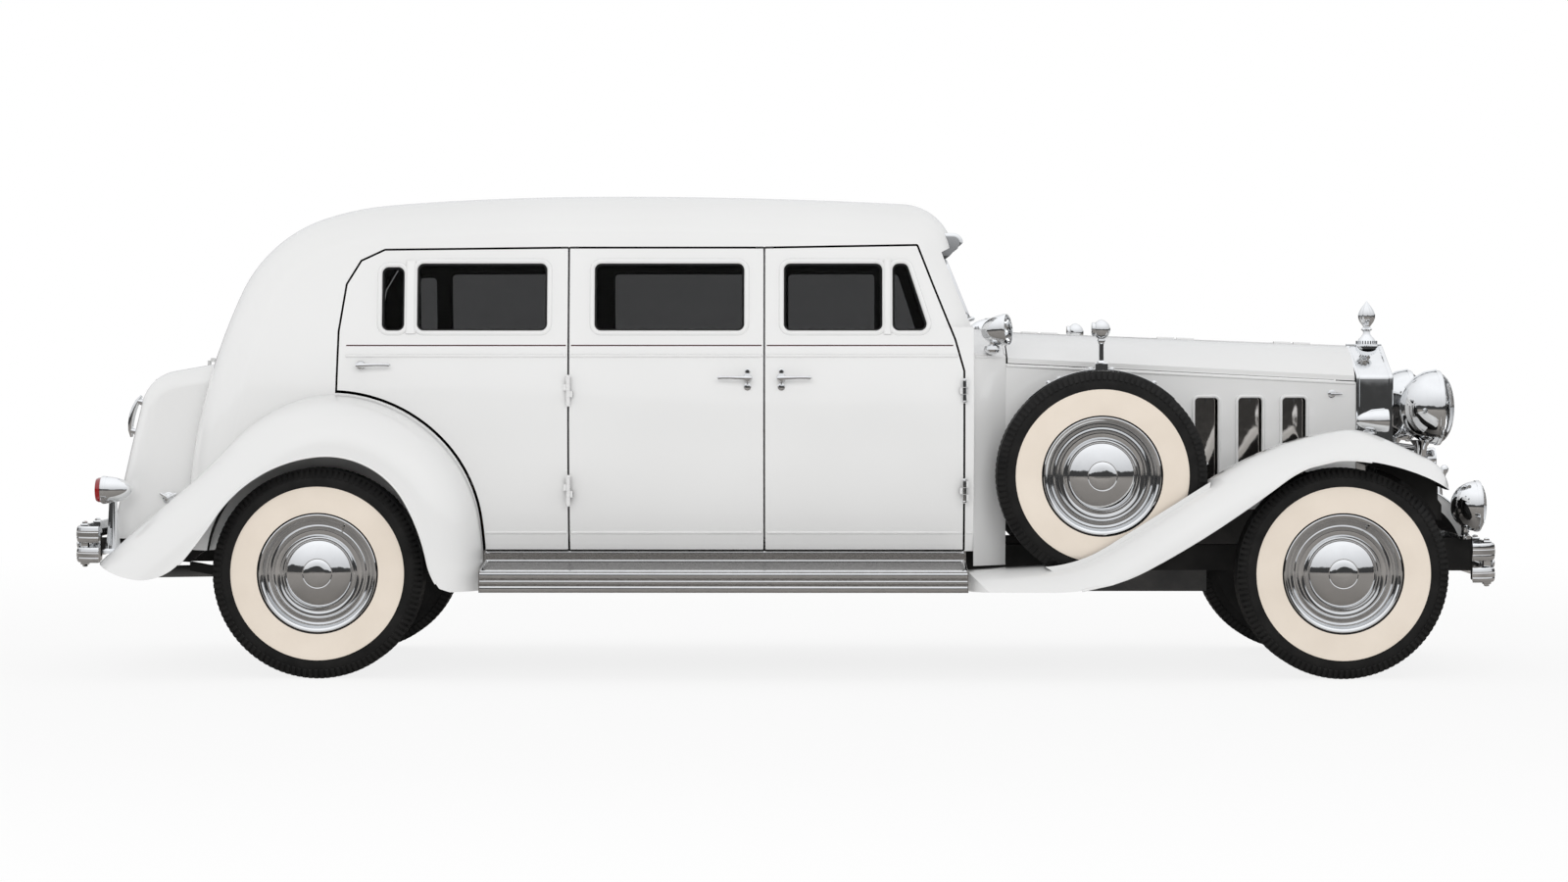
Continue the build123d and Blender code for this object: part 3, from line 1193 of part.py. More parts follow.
def make_steering_wheel():
    """Rim, four spokes and hub square to the column."""
    x, y, z = STEER_CENTRE
    along = Vector(cos(radians(STEER_TILT)), 0, -sin(radians(STEER_TILT)))
    plane = Plane(origin=(x, y, z), z_dir=along, x_dir=(0, 1, 0))
    made = Torus(STEER_RADIUS, 13.0) + Cylinder(34.0, HUB_LENGTH)
    for angle in (45, 135, 225, 315):
        spoke = Pos(STEER_RADIUS / 2, 0, 0) * Box(STEER_RADIUS, 20.0, 10.0)
        made += Rot(0, 0, angle) * spoke
    return plane * made


CHASSIS = make_chassis()


def main():
    """Write one STEP file for each sub-part."""
    parts = {}
    for name, (door, glass) in make_doors().items():
        parts[f"door_{name}_right"] = door
        parts[f"door_{name}_left"] = mirror(door, about=Plane.XZ)
        parts[f"glass_{name}_right"] = glass
        parts[f"glass_{name}_left"] = mirror(glass, about=Plane.XZ)
    parts["body_shell"] = make_body()
    parts["body_glass"] = make_body_glass()
    parts["floor_pan"] = make_floor()
    parts["cowl"], cowl_block = make_cowl()
    parts["bonnet_lid_right"] = make_bonnet_lid(0.0)
    parts["bonnet_lid_left"] = mirror(make_bonnet_lid(LID_LEFT_SHIFT), about=Plane.XZ)
    side = make_bonnet_sides()
    ridge = rod(ridge_point(BONNET_REAR_X - 2.4), ridge_point(RADIATOR_X - 2 * SEAT_GAP), BONNET_ROD)
    parts["bonnet_sides"] = both(side) + ridge
    parts["radiator"] = make_radiator()
    front_fender = make_front_fender()
    parts["front_fenders"] = both(front_fender)
    parts["rear_fenders"] = both(make_rear_fender())
    parts["running_boards"] = both(make_running_board())
    parts["trunk"], parts["trunk_lid"] = make_trunk()
    parts["chassis_frame"] = CHASSIS
    parts["engine_block"] = make_engine()
    parts["front_axle"] = make_front_axle()
    parts["knuckle_right"] = make_knuckle()
    parts["knuckle_left"] = mirror(make_knuckle(), about=Plane.XZ)
    parts["rear_axle"] = make_rear_axle()
    for place, at in WHEEL_PLACES.items():
        parts[f"wheel_{place}"] = make_wheel(*at)
        parts[f"tyre_{place}"] = make_tyre(*at)
    x, y, z = SPARE_CENTRE
    parts["spare_wheels"] = Part() + [make_wheel(x, -y, z), make_wheel(x, y, z)]
    parts["spare_tyres"] = Part() + [make_tyre(x, -y, z), make_tyre(x, y, z)]
    parts["exhaust"] = make_exhaust()
    parts["fuel_tank"] = make_tank()
    parts["headlamps"] = make_headlamps()
    side_lamp, fog_lamp, spot_lamp = make_small_lamps()
    parts["small_lamps"] = both(side_lamp - front_fender) + both(fog_lamp) \
        + both(spot_lamp - Pos(0, -SEAT_GAP, 0) * cowl_block)
    parts["tail_lamps"] = make_tail_lamps()
    parts["front_apron"] = make_front_apron()
    parts["front_bumper"] = make_front_bumper()
    parts["rear_bumper"] = make_rear_bumper()
    parts["visor"] = make_visor()
    parts["spare_mirrors"] = make_mirrors()
    parts["seats"] = make_seats()
    parts["casket_deck"] = make_deck()
    parts["dashboard"] = make_dashboard()
    parts["steering_wheel"] = make_steering_wheel()
    os.makedirs("parts", exist_ok=True)
    for name, shape in parts.items():
        export_step(shape, f"parts/{name}.step")


main()
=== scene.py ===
from math import atan2, cos, hypot, pi, radians, sin, sqrt

import bmesh
import bpy
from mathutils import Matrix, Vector
from mathutils.bvhtree import BVHTree


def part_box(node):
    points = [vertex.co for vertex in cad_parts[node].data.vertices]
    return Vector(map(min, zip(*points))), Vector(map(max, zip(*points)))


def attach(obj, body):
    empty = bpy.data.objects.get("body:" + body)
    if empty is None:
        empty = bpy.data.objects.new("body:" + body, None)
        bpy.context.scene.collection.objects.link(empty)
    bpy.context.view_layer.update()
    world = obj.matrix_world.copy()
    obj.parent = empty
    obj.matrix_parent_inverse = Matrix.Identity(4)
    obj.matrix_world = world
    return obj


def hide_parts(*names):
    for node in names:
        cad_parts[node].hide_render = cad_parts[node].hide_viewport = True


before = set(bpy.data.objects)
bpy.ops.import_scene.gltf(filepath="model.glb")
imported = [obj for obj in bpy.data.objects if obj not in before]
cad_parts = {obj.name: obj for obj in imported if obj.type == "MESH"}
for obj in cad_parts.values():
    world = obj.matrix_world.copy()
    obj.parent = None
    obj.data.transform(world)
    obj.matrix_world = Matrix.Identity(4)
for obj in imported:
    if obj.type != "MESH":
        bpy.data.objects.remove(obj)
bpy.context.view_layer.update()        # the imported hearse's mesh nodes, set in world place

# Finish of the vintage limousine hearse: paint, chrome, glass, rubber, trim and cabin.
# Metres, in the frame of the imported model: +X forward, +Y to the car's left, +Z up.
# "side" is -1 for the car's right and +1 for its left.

SIDES = {"right": -1, "left": 1}
WELD = 0.00002              # points nearer than this are one point
UP = Vector((0, 0, 1))
DOWN = Vector((0, 0, -1))


# ================================================================ node materials
def look(name):
    """A new material: (material, its node tree, its main shader)."""
    made = bpy.data.materials.new(name)
    made.use_nodes = True
    tree = made.node_tree
    return made, tree, tree.nodes["Principled BSDF"]


def add(tree, kind, inputs=None, **settings):
    """A node with its settings, and its inputs given as values or as other nodes' outputs."""
    node = tree.nodes.new(kind)
    for key, value in settings.items():
        setattr(node, key, value)
    for key, value in (inputs or {}).items():
        if isinstance(value, bpy.types.NodeSocket):
            tree.links.new(value, node.inputs[key])
        else:
            node.inputs[key].default_value = value
    return node


def place(tree, stretch=(1, 1, 1)):
    """Position in metres, stretched so that a pattern can run along one axis."""
    at = add(tree, "ShaderNodeTexCoord").outputs["Object"]
    if tuple(stretch) == (1, 1, 1):
        return at
    return add(tree, "ShaderNodeMapping", {"Vector": at, "Scale": stretch}).outputs["Vector"]


def noise(tree, scale, detail=2.0, stretch=(1, 1, 1)):
    """Soft noise with about this many blobs in a metre."""
    made = add(tree, "ShaderNodeTexNoise",
               {"Vector": place(tree, stretch), "Scale": scale, "Detail": detail})
    return made.outputs["Fac"]


def math(tree, operation, a, b=0.0):
    """One sum on two values."""
    return add(tree, "ShaderNodeMath", {0: a, 1: b}, operation=operation).outputs[0]


def spread(tree, value, low, high, start=0.3, end=0.7):
    """Value from start..end mapped to low..high."""
    made = add(tree, "ShaderNodeMapRange", {"Value": value, "From Min": start, "From Max": end,
                                            "To Min": low, "To Max": high})
    return made.outputs["Result"]


def between(tree, factor, first, second):
    """Colour between two colours."""
    made = add(tree, "ShaderNodeMix", data_type="RGBA")
    tree.links.new(factor, made.inputs[0])
    made.inputs[6].default_value = (*first, 1)
    made.inputs[7].default_value = (*second, 1)
    return made.outputs[2]


def mix(tree, share, first, second):
    """Two shader nodes mixed; share is how much of the second."""
    made = add(tree, "ShaderNodeMixShader", {0: share})
    tree.links.new(first.outputs[0], made.inputs[1])
    tree.links.new(second.outputs[0], made.inputs[2])
    return made


def bump(tree, shader, height, strength, depth=0.001):
    """Fine relief on a shader."""
    made = add(tree, "ShaderNodeBump", {"Height": height, "Strength": strength, "Distance": depth})
    tree.links.new(made.outputs["Normal"], shader.inputs["Normal"])


def set_values(shader, **values):
    """Constant values of a shader's sockets; _ in a name stands for a space."""
    for key, value in values.items():
        shader.inputs[key.replace("_", " ")].default_value = value


def varied(name, first, second, rough, scale=6.0, relief=None, stretch=(1, 1, 1), **values):
    """Material whose colour and roughness wander between two values, with fine relief.

    rough is (low, high); relief is (blobs in a metre, strength, depth in metres)."""
    made, tree, shader = look(name)
    factor = spread(tree, noise(tree, scale, 4.0, stretch), 0.0, 1.0)
    tree.links.new(between(tree, factor, first, second), shader.inputs["Base Color"])
    wander = spread(tree, noise(tree, scale * 2.3, 3.0, stretch), rough[0], rough[1])
    tree.links.new(wander, shader.inputs["Roughness"])
    if relief:
        bump(tree, shader, noise(tree, relief[0], 3.0, stretch), relief[1], relief[2])
    set_values(shader, **values)
    return made


PAINT_WHITE = ((0.80, 0.80, 0.795), (0.77, 0.77, 0.765))
# Near-black: the cloth lining inside the body; the same colour is painted shade on the trunk's low front
# corner, and partly painted shade, partly black underseal, on undersides and fender walls.
CLOTH = ((0.008, 0.0075, 0.0075), (0.014, 0.013, 0.013))


def painted(name, hollow_at, stretch, under, wall_y=None, low=None):
    """Gloss white coachwork whose inner faces, those turned toward hollow_at, are near-black: cloth lining
    inside the body, and in the wheel wells partly painted shade, partly black underseal.

    under is the height of normal below which a face also counts as an underside; undersides go near-black,
    partly painted shade, partly black underseal. A fender has
    wall_y: faces turned to the middle of the car, and upright ones nearer to it than that, are
    dark, partly painted shade under the fender, partly black underseal. low (x, z) darkens what lies ahead
    of x and under z as painted shade."""
    made, tree, shader = look(name)
    factor = spread(tree, noise(tree, 1.3, 2.0), 0.0, 1.0)
    tree.links.new(between(tree, factor, *PAINT_WHITE), shader.inputs["Base Color"])
    bump(tree, shader, noise(tree, 260.0, 1.0), 0.03, 0.0004)
    set_values(shader, Roughness=0.32, Coat_Weight=1.0, Coat_Roughness=0.03)
    # inner is the near-black shader: cloth lining inside the body, and elsewhere partly painted shade,
    # partly black underseal
    inner = add(tree, "ShaderNodeBsdfPrincipled")
    weave = noise(tree, 900.0, 1.0)
    tree.links.new(between(tree, weave, *CLOTH), inner.inputs["Base Color"])
    bump(tree, inner, weave, 0.3, 0.0006)
    set_values(inner, Roughness=0.85, Specular_IOR_Level=0.2)
    geometry = add(tree, "ShaderNodeNewGeometry")
    away = add(tree, "ShaderNodeVectorMath", {0: geometry.outputs["Position"], 1: hollow_at},
               operation="SUBTRACT").outputs[0]
    away = add(tree, "ShaderNodeVectorMath", {0: away, 1: stretch}, operation="MULTIPLY").outputs[0]
    facing = add(tree, "ShaderNodeVectorMath", {0: geometry.outputs["Normal"], 1: away},
                 operation="DOT_PRODUCT").outputs["Value"]
    inside = math(tree, "LESS_THAN", facing, -0.01)
    normal = add(tree, "ShaderNodeSeparateXYZ", {0: geometry.outputs["Normal"]})
    rise = normal.outputs["Z"]
    # undersides go near-black too: partly painted shade, partly black underseal
    inside = math(tree, "MAXIMUM", inside, math(tree, "LESS_THAN", rise, under))
    spot = add(tree, "ShaderNodeSeparateXYZ", {0: geometry.outputs["Position"]})
    if wall_y is not None:
        # fender walls turned to the car's middle go near-black: partly painted shade under the fender,
        # partly black underseal
        across = spot.outputs["Y"]
        turned = math(tree, "MULTIPLY", normal.outputs["Y"], math(tree, "SIGN", across))
        inside = math(tree, "MAXIMUM", inside, math(tree, "LESS_THAN", turned, -0.6))
        upright = math(tree, "GREATER_THAN", math(tree, "ABSOLUTE", normal.outputs["Y"]), 0.6)
        near = math(tree, "LESS_THAN", math(tree, "ABSOLUTE", across), wall_y)
        inside = math(tree, "MAXIMUM", inside, math(tree, "MULTIPLY", upright, near))
    if low:
        # painted shade: the corner ahead of x and under z goes near-black
        ahead = math(tree, "GREATER_THAN", spot.outputs["X"], low[0])
        beneath = math(tree, "LESS_THAN", spot.outputs["Z"], low[1])
        inside = math(tree, "MAXIMUM", inside, math(tree, "MULTIPLY", ahead, beneath))
    # wherever inside is set, the near-black of lining and painted shade replaces the white paint
    mixed = mix(tree, inside, shader, inner)
    tree.links.new(mixed.outputs[0], tree.nodes["Material Output"].inputs["Surface"])
    return made


def plated(name, color, rough, ripple=0.02):
    """Polished or plated metal with faint ripples and wiping marks."""
    made, tree, shader = look(name)
    wander = spread(tree, noise(tree, 35.0, 4.0), rough[0], rough[1])
    tree.links.new(wander, shader.inputs["Roughness"])
    darker = tuple(0.93 * c for c in color)
    tone = spread(tree, noise(tree, 12.0, 3.0), 0.0, 1.0)
    tree.links.new(between(tree, tone, color, darker), shader.inputs["Base Color"])
    bump(tree, shader, noise(tree, 18.0, 1.0), ripple, 0.002)
    set_values(shader, Metallic=1.0)
    return made


def brushed(name, color, along):
    """Metal brushed in one direction."""
    made, tree, shader = look(name)
    lines = noise(tree, 40.0, 4.0, [0.6 if a else 18.0 for a in along])
    tree.links.new(spread(tree, lines, 0.16, 0.34), shader.inputs["Roughness"])
    tree.links.new(between(tree, lines, color, tuple(0.8 * c for c in color)),
                   shader.inputs["Base Color"])
    bump(tree, shader, lines, 0.06, 0.0004)
    set_values(shader, Metallic=1.0)
    return made


def glazing(name, tint, rough=0.0, flutes=0.0, sheen=0.5, ior=1.45):
    """Clear or tinted glass; flutes is how many upright ribs a metre has."""
    made, tree, shader = look(name)
    smear = spread(tree, noise(tree, 9.0, 3.0), rough, rough + 0.02)
    tree.links.new(smear, shader.inputs["Roughness"])
    darker = tuple(0.94 * c for c in tint)
    tree.links.new(between(tree, noise(tree, 2.0), tint, darker), shader.inputs["Base Color"])
    if flutes:
        ribs = add(tree, "ShaderNodeTexWave", {"Vector": place(tree), "Scale": flutes / 20.0,
                                               "Distortion": 0.0}, bands_direction="Y")
        bump(tree, shader, ribs.outputs["Fac"], 0.7, 0.002)
    set_values(shader, Transmission_Weight=1.0, IOR=ior, Specular_IOR_Level=sheen)
    return made


def grained(name, first, second, along, gloss=0.22):
    """Varnished wood with its grain along one axis."""
    made, tree, shader = look(name)
    stretch = [1.2 if a else 26.0 for a in along]
    grain = noise(tree, 3.0, 8.0, stretch)
    fine = noise(tree, 24.0, 4.0, stretch)
    both = math(tree, "ADD", math(tree, "MULTIPLY", grain, 0.7), math(tree, "MULTIPLY", fine, 0.3))
    tree.links.new(between(tree, spread(tree, both, 0.0, 1.0, 0.35, 0.65), first, second),
                   shader.inputs["Base Color"])
    bump(tree, shader, fine, 0.05, 0.0004)
    set_values(shader, Roughness=gloss, Coat_Weight=0.6, Coat_Roughness=0.06)
    return made


def hide(name, first, second):
    """Leather with a pebbled grain."""
    made, tree, shader = look(name)
    cells = add(tree, "ShaderNodeTexVoronoi", {"Vector": place(tree), "Scale": 420.0},
                feature="DISTANCE_TO_EDGE")
    pebble = spread(tree, cells.outputs["Distance"], 0.0, 1.0, 0.0, 0.25)
    wear = spread(tree, noise(tree, 5.0, 4.0), 0.0, 1.0)
    tree.links.new(between(tree, wear, first, second), shader.inputs["Base Color"])
    tree.links.new(spread(tree, wear, 0.38, 0.55, 0.0, 1.0), shader.inputs["Roughness"])
    bump(tree, shader, pebble, 0.35, 0.0005)
    set_values(shader, Specular_IOR_Level=0.4)
    return made


CABIN = (-0.70, 0.0, 1.15)          # a point in the middle of the hollow body


def make_looks():
    """Every material of the car, by name."""
    spin = (1.0, 0.0, 1.0)
    lo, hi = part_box("tyre_front_right")
    front = (lo + hi) / 2
    lo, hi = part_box("tyre_rear_right")
    rear = (lo + hi) / 2
    trunk = (-2.35, 0.0, 0.85)
    return {
        # each under value darkens undersides: partly painted shade, partly black underseal
        "paint": painted("coach_paint", CABIN, (0.3, 1.0, 1.0), -0.6),
        # fender walls turned to the middle go near-black, the front ones also within 0.80 m of it: partly
        # painted shade, partly black underseal
        "front_fender": painted("front_fender_paint", tuple(front), spin, -0.35, 0.80),
        "rear_fender": painted("rear_fender_paint", tuple(rear), spin, -0.35, 0.0),
        # low darkens the trunk's front corner under the rear fender as painted shade
        "trunk": painted("trunk_paint", trunk, (1.0, 1.0, 1.0), -0.9, low=(-2.34, 0.68)),
        "bonnet": painted("bonnet_paint", (1.5, 0.0, 0.85), (0.3, 1.0, 1.0), -0.6),
        "bead": varied("bead_paint", *PAINT_WHITE, (0.18, 0.26), relief=(260.0, 0.03, 0.0004),
                       Coat_Weight=1.0, Coat_Roughness=0.03),
        "chrome": plated("chrome", (0.86, 0.87, 0.88), (0.03, 0.07)),
        "nickel": plated("nickel", (0.78, 0.76, 0.73), (0.06, 0.12)),
        "mirror": plated("vent_plate", (0.62, 0.59, 0.56), (0.05, 0.10), 0.25),
        "tread_plate": brushed("tread_plate", (0.55, 0.54, 0.53), (1, 0, 0)),
        "glass": glazing("tinted_glass", (0.27, 0.27, 0.27), ior=1.12),
        "clear": glazing("clear_glass", (0.93, 0.94, 0.94)),
        "lens": glazing("fluted_lens", (0.93, 0.94, 0.95), 0.02, 130.0),
        "red": varied("red_lens", (0.30, 0.006, 0.008), (0.22, 0.004, 0.006), (0.08, 0.14),
                      relief=(300.0, 0.2, 0.001), Coat_Weight=1.0, Coat_Roughness=0.04),
        "rubber": varied("tyre_rubber", (0.008, 0.008, 0.008), (0.015, 0.0145, 0.014),
                         (0.48, 0.66), 14.0, (340.0, 0.25, 0.0006), Specular_IOR_Level=0.2),
        "whitewall": varied("whitewall_rubber", (0.80, 0.715, 0.62), (0.74, 0.655, 0.56),
                            (0.50, 0.62), 5.0, (420.0, 0.08, 0.0004)),
        "seal": varied("window_rubber", (0.010, 0.010, 0.010), (0.018, 0.018, 0.018),
                       (0.5, 0.7), 20.0, (500.0, 0.2, 0.0004)),
        "black": varied("chassis_paint", (0.010, 0.010, 0.010), (0.020, 0.019, 0.018),
                        (0.35, 0.6), 9.0, (120.0, 0.15, 0.001), Specular_IOR_Level=0.3),
        "iron": varied("cast_iron", (0.05, 0.05, 0.05), (0.09, 0.085, 0.08), (0.55, 0.75), 8.0,
                       (90.0, 0.5, 0.002)),
        "pinstripe": varied("pinstripe", (0.060, 0.012, 0.010), (0.045, 0.010, 0.008), (0.3, 0.4)),
        "carpet": varied("carpet", (0.030, 0.028, 0.028), (0.055, 0.050, 0.048), (0.9, 1.0), 30.0,
                         (700.0, 1.0, 0.004)),
        "hide": hide("seat_leather", (0.045, 0.038, 0.034), (0.070, 0.058, 0.050)),
        "deck_wood": grained("deck_wood", (0.20, 0.085, 0.035), (0.10, 0.040, 0.018), (1, 0, 0)),
        "dash_wood": grained("dash_wood", (0.17, 0.075, 0.030), (0.07, 0.028, 0.014), (0, 1, 0)),
        "bakelite": varied("bakelite", (0.012, 0.011, 0.010), (0.020, 0.018, 0.016), (0.14, 0.26),
                           10.0, (150.0, 0.05, 0.0005), Coat_Weight=0.5, Coat_Roughness=0.05),
        "dial": varied("dial_face", (0.75, 0.72, 0.64), (0.70, 0.67, 0.60), (0.4, 0.5)),
        "core": varied("radiator_core", (0.010, 0.010, 0.010), (0.030, 0.028, 0.026), (0.5, 0.7),
                       60.0, (180.0, 1.0, 0.004), stretch=(1, 4, 1)),
    }


LOOKS = make_looks()
CAD_LOOKS = {
    "paint": ["body_shell", "cowl", "door_front_right", "door_front_left", "door_middle_right",
              "door_middle_left", "door_rear_right", "door_rear_left"],
    "bonnet": ["bonnet_lid_right", "bonnet_lid_left", "bonnet_sides", "front_apron"],
    "front_fender": ["front_fenders"],
    "rear_fender": ["rear_fenders"],
    "trunk": ["trunk", "trunk_lid"],
    "chrome": ["radiator", "headlamps", "small_lamps", "tail_lamps", "front_bumper",
               "rear_bumper", "visor", "spare_mirrors", "wheel_front_right", "wheel_front_left",
               "wheel_rear_right", "wheel_rear_left", "spare_wheels"],
    "glass": ["body_glass", "glass_front_right", "glass_front_left", "glass_middle_right",
              "glass_middle_left", "glass_rear_right", "glass_rear_left"],
    "rubber": ["tyre_front_right", "tyre_front_left", "tyre_rear_right", "tyre_rear_left",
               "spare_tyres"],
    "black": ["chassis_frame", "front_axle", "rear_axle", "fuel_tank", "knuckle_right",
              "knuckle_left"],
    "iron": ["engine_block", "exhaust"],
    "tread_plate": ["running_boards"],
    "carpet": ["floor_pan"],
    "hide": ["seats"],
    "deck_wood": ["casket_deck"],
    "dash_wood": ["dashboard"],
    "bakelite": ["steering_wheel"],
}


def dress_cad_nodes():
    """Give each CAD node its finish."""
    for name, nodes in CAD_LOOKS.items():
        for node in nodes:
            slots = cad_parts[node].material_slots
            for slot in slots:
                slot.link = "OBJECT"
                slot.material = LOOKS[name]


# ================================================================ mesh helpers
def ring(count, start=0.0):
    """Angles evenly round a circle."""
    return [start + 2 * pi * i / count for i in range(count)]


def arc(cx, cy, radius, start, end, steps):
    """Points of an arc, angles in degrees."""
    return [(cx + radius * cos(radians(start + (end - start) * i / steps)),
             cy + radius * sin(radians(start + (end - start) * i / steps)))
            for i in range(steps + 1)]


def grid(rows, cols, close_rows=False, close_cols=False):
    """Quads of a grid of points stored row by row."""
    faces = []
    for i in range(rows if close_rows else rows - 1):
        for j in range(cols if close_cols else cols - 1):
            a, b = i * cols + j, i * cols + (j + 1) % cols
            faces.append((a, b, (i + 1) % rows * cols + (j + 1) % cols, (i + 1) % rows * cols + j))
    return faces


class Piece:
    """Surfaces gathered into one named object that rides on a body."""

    def __init__(self, name, body, slot):
        self.name, self.body, self.slot = name, body, slot
        self.points, self.faces, self.tags, self.looks = [], [], [], []

    def put(self, points, faces, look_name):
        """Add one surface with its finish."""
        if look_name not in self.looks:
            self.looks.append(look_name)
        base = len(self.points)
        self.points += [tuple(p) for p in points]
        self.faces += [tuple(base + i for i in face) for face in faces]
        self.tags += [self.looks.index(look_name)] * len(faces)

    def done(self, replaces=(), sharp=32.0):
        """Make the object; sharp is the angle in degrees past which an edge stays crisp."""
        mesh = bpy.data.meshes.new(self.name)
        mesh.from_pydata(self.points, [], self.faces)
        mesh.polygons.foreach_set("material_index", self.tags)
        work = bmesh.new()
        work.from_mesh(mesh)
        bmesh.ops.remove_doubles(work, verts=work.verts, dist=WELD)
        bmesh.ops.dissolve_degenerate(work, dist=WELD, edges=work.edges)
        bmesh.ops.recalc_face_normals(work, faces=work.faces)
        work.to_mesh(mesh)
        work.free()
        for look_name in self.looks:
            mesh.materials.append(LOOKS[look_name])
        mesh.shade_smooth()
        mesh.set_sharp_from_angle(angle=radians(sharp))
        made = bpy.data.objects.new(self.name, mesh)
        bpy.context.scene.collection.objects.link(made)
        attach(made, self.body)
        if replaces:
            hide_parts(*replaces)


def lathe(profile, at, toward, steps=64):
    """Profile of (distance along the axis, radius) turned about the line from at toward."""
    along = Vector(toward).normalized()
    first = (UP if abs(along.z) < 0.9 else Vector((1, 0, 0))).cross(along).normalized()
    second = along.cross(first)
    points = []
    for angle in ring(steps):
        out = first * cos(angle) + second * sin(angle)
        points += [Vector(at) + along * x + out * r for x, r in profile]
    return points, grid(steps, len(profile), True)


def tube(path, radius, steps=10, closed=False):
    """Round bar along a path; radius is one value, or one for each point."""
    path = [Vector(p) for p in path]
    count = len(path)
    radii = radius if isinstance(radius, (list, tuple)) else [radius] * count
    points = []
    side = None
    for i, at in enumerate(path):
        ahead = path[(i + 1) % count] if closed or i + 1 < count else at
        behind = path[i - 1] if closed or i > 0 else at
        along = (ahead - behind).normalized()
        if side is None:
            side = (UP if abs(along.z) < 0.9 else Vector((1, 0, 0))).cross(along)
        side = (side - along * side.dot(along)).normalized()
        other = along.cross(side)
        points += [at + (side * cos(a) + other * sin(a)) * radii[i] for a in ring(steps)]
    faces = grid(count, steps, closed, True)
    if not closed:
        faces += [tuple(range(steps)), tuple(range((count - 1) * steps, count * steps))]
    return points, faces


def strip(path, normals, section, closed=False):
    """Section of (across, proud) points swept along a path that lies on a surface."""
    path = [Vector(p) for p in path]
    count = len(path)
    points = []
    for i, (at, normal) in enumerate(zip(path, normals)):
        ahead = path[(i + 1) % count] if closed or i + 1 < count else at
        behind = path[i - 1] if closed or i > 0 else at
        across = (ahead - behind).cross(normal).normalized()
        points += [at + across * u + normal * h for u, h in section]
    size = len(section)
    faces = grid(count, size, closed, True)
    if not closed:
        faces += [tuple(range(size)), tuple(range((count - 1) * size, count * size))]
    return points, faces


def half_round(width, proud, steps=6, sunk=0.002):
    """Section of a half-round moulding, its base sunk a little into the surface."""
    top = [(width / 2 * cos(a), proud * sin(a)) for a in [pi * i / steps for i in range(steps + 1)]]
    return [(width / 2, -sunk)] + top + [(-width / 2, -sunk)]


def plate(outline, at, across, up, depth, bevel=0.0):
    """Flat plate: outline of (across, up) points, depth thick, its far edge bevelled."""
    across, up = Vector(across).normalized(), Vector(up).normalized()
    out = across.cross(up)
    rings = [(0.0, 0.0), (0.0, depth - bevel), (bevel, depth)] if bevel else [(0.0, 0.0), (0.0, depth)]
    points = []
    for inset, height in rings:
        shape = grow(outline, -inset) if inset else outline
        points += [Vector(at) + across * u + up * v + out * height for u, v in shape]
    size = len(outline)
    faces = grid(len(rings), size, False, True)
    return points, faces + [tuple(range(size)), tuple(range(len(points) - size, len(points)))]


def grow(outline, amount):
    """Closed outline moved outward, for points that run anticlockwise."""
    moved = []
    for i, (x, y) in enumerate(outline):
        x0, y0 = outline[i - 1]
        x1, y1 = outline[(i + 1) % len(outline)]
        length = hypot(x1 - x0, y1 - y0) or 1.0
        moved.append((x + (y1 - y0) / length * amount, y - (x1 - x0) / length * amount))
    return moved


def rounded(x0, x1, y0, y1, radius, steps=6):
    """Rounded rectangle, anticlockwise."""
    return (arc(x1 - radius, y1 - radius, radius, 0, 90, steps)
            + arc(x0 + radius, y1 - radius, radius, 90, 180, steps)
            + arc(x0 + radius, y0 + radius, radius, 180, 270, steps)
            + arc(x1 - radius, y0 + radius, radius, 270, 360, steps))


def dense(outline, step):
    """Closed outline with points no further apart than step."""
    made = []
    for (x0, y0), (x1, y1) in zip(outline, outline[1:] + outline[:1]):
        count = max(1, int(hypot(x1 - x0, y1 - y0) / step + 0.999))
        made += [(x0 + (x1 - x0) * i / count, y0 + (y1 - y0) * i / count) for i in range(count)]
    return made


class Skin:
    """Surface of some CAD nodes, to lay mouldings and fittings on."""

    def __init__(self, *nodes):
        points, faces = [], []
        for node in nodes:
            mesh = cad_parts[node].data
            base = len(points)
            points += [v.co.copy() for v in mesh.vertices]
            faces += [[base + i for i in face.vertices] for face in mesh.polygons]
        self.tree = BVHTree.FromPolygons(points, faces)

    def cast(self, start, direction):
        """First point met, and the surface's normal turned back toward the start."""
        direction = Vector(direction)
        at, normal, _, _ = self.tree.ray_cast(Vector(start), direction)
        if at is None:
            return None
        return at, (normal if normal.dot(direction) < 0 else -normal)

    def beside(self, x, z, side):
        """Point on the side of the car."""
        return self.cast((x, side * 1.5, z), (0, -side, 0))

    def lay(self, outline, side):
        """Outline of (x, z) points laid on the side of the car: (points, normals)."""
        return self.trace([(x, side * 1.5, z) for x, z in outline], (0, -side, 0))

    def trace(self, starts, direction):
        """What a row of rays meets, without those that miss: (points, normals)."""
        met = [self.cast(start, direction) for start in starts]
        met = [m for m in met if m]
        return [m[0] for m in met], [m[1] for m in met]


# ================================================================ wheels and tyres
TYRE_PROFILE = [
    # distance out from the tyre's middle plane, radius, finish of the stretch that follows
    (0.0560, 0.2235, "rubber"), (0.0690, 0.2280, "rubber"), (0.0770, 0.2350, "whitewall"),
    (0.0830, 0.2560, "whitewall"), (0.0862, 0.2820, "whitewall"), (0.0868, 0.3060, "whitewall"),
    (0.0855, 0.3240, "whitewall"), (0.0830, 0.3360, "rubber"), (0.0808, 0.3390, "rubber"),
    (0.0812, 0.3560, "rubber"), (0.0785, 0.3730, "rubber"), (0.0720, 0.3870, "rubber"),
    (0.0640, 0.3970, "rubber"), (0.0590, 0.4005, "rubber"),
]
TREAD_RADIUS = 0.4075
TYRE_HALF = 0.0875          # half the width of a tyre
GROOVE_DEPTH = 0.006
TREAD_RIBS = [
    # inner and outer edge of each rib across the tread
    (-0.0590, -0.0400), (-0.0350, -0.0140), (-0.0095, 0.0095), (0.0140, 0.0350), (0.0400, 0.0590),
]
LUGS = 110                  # notches round each shoulder
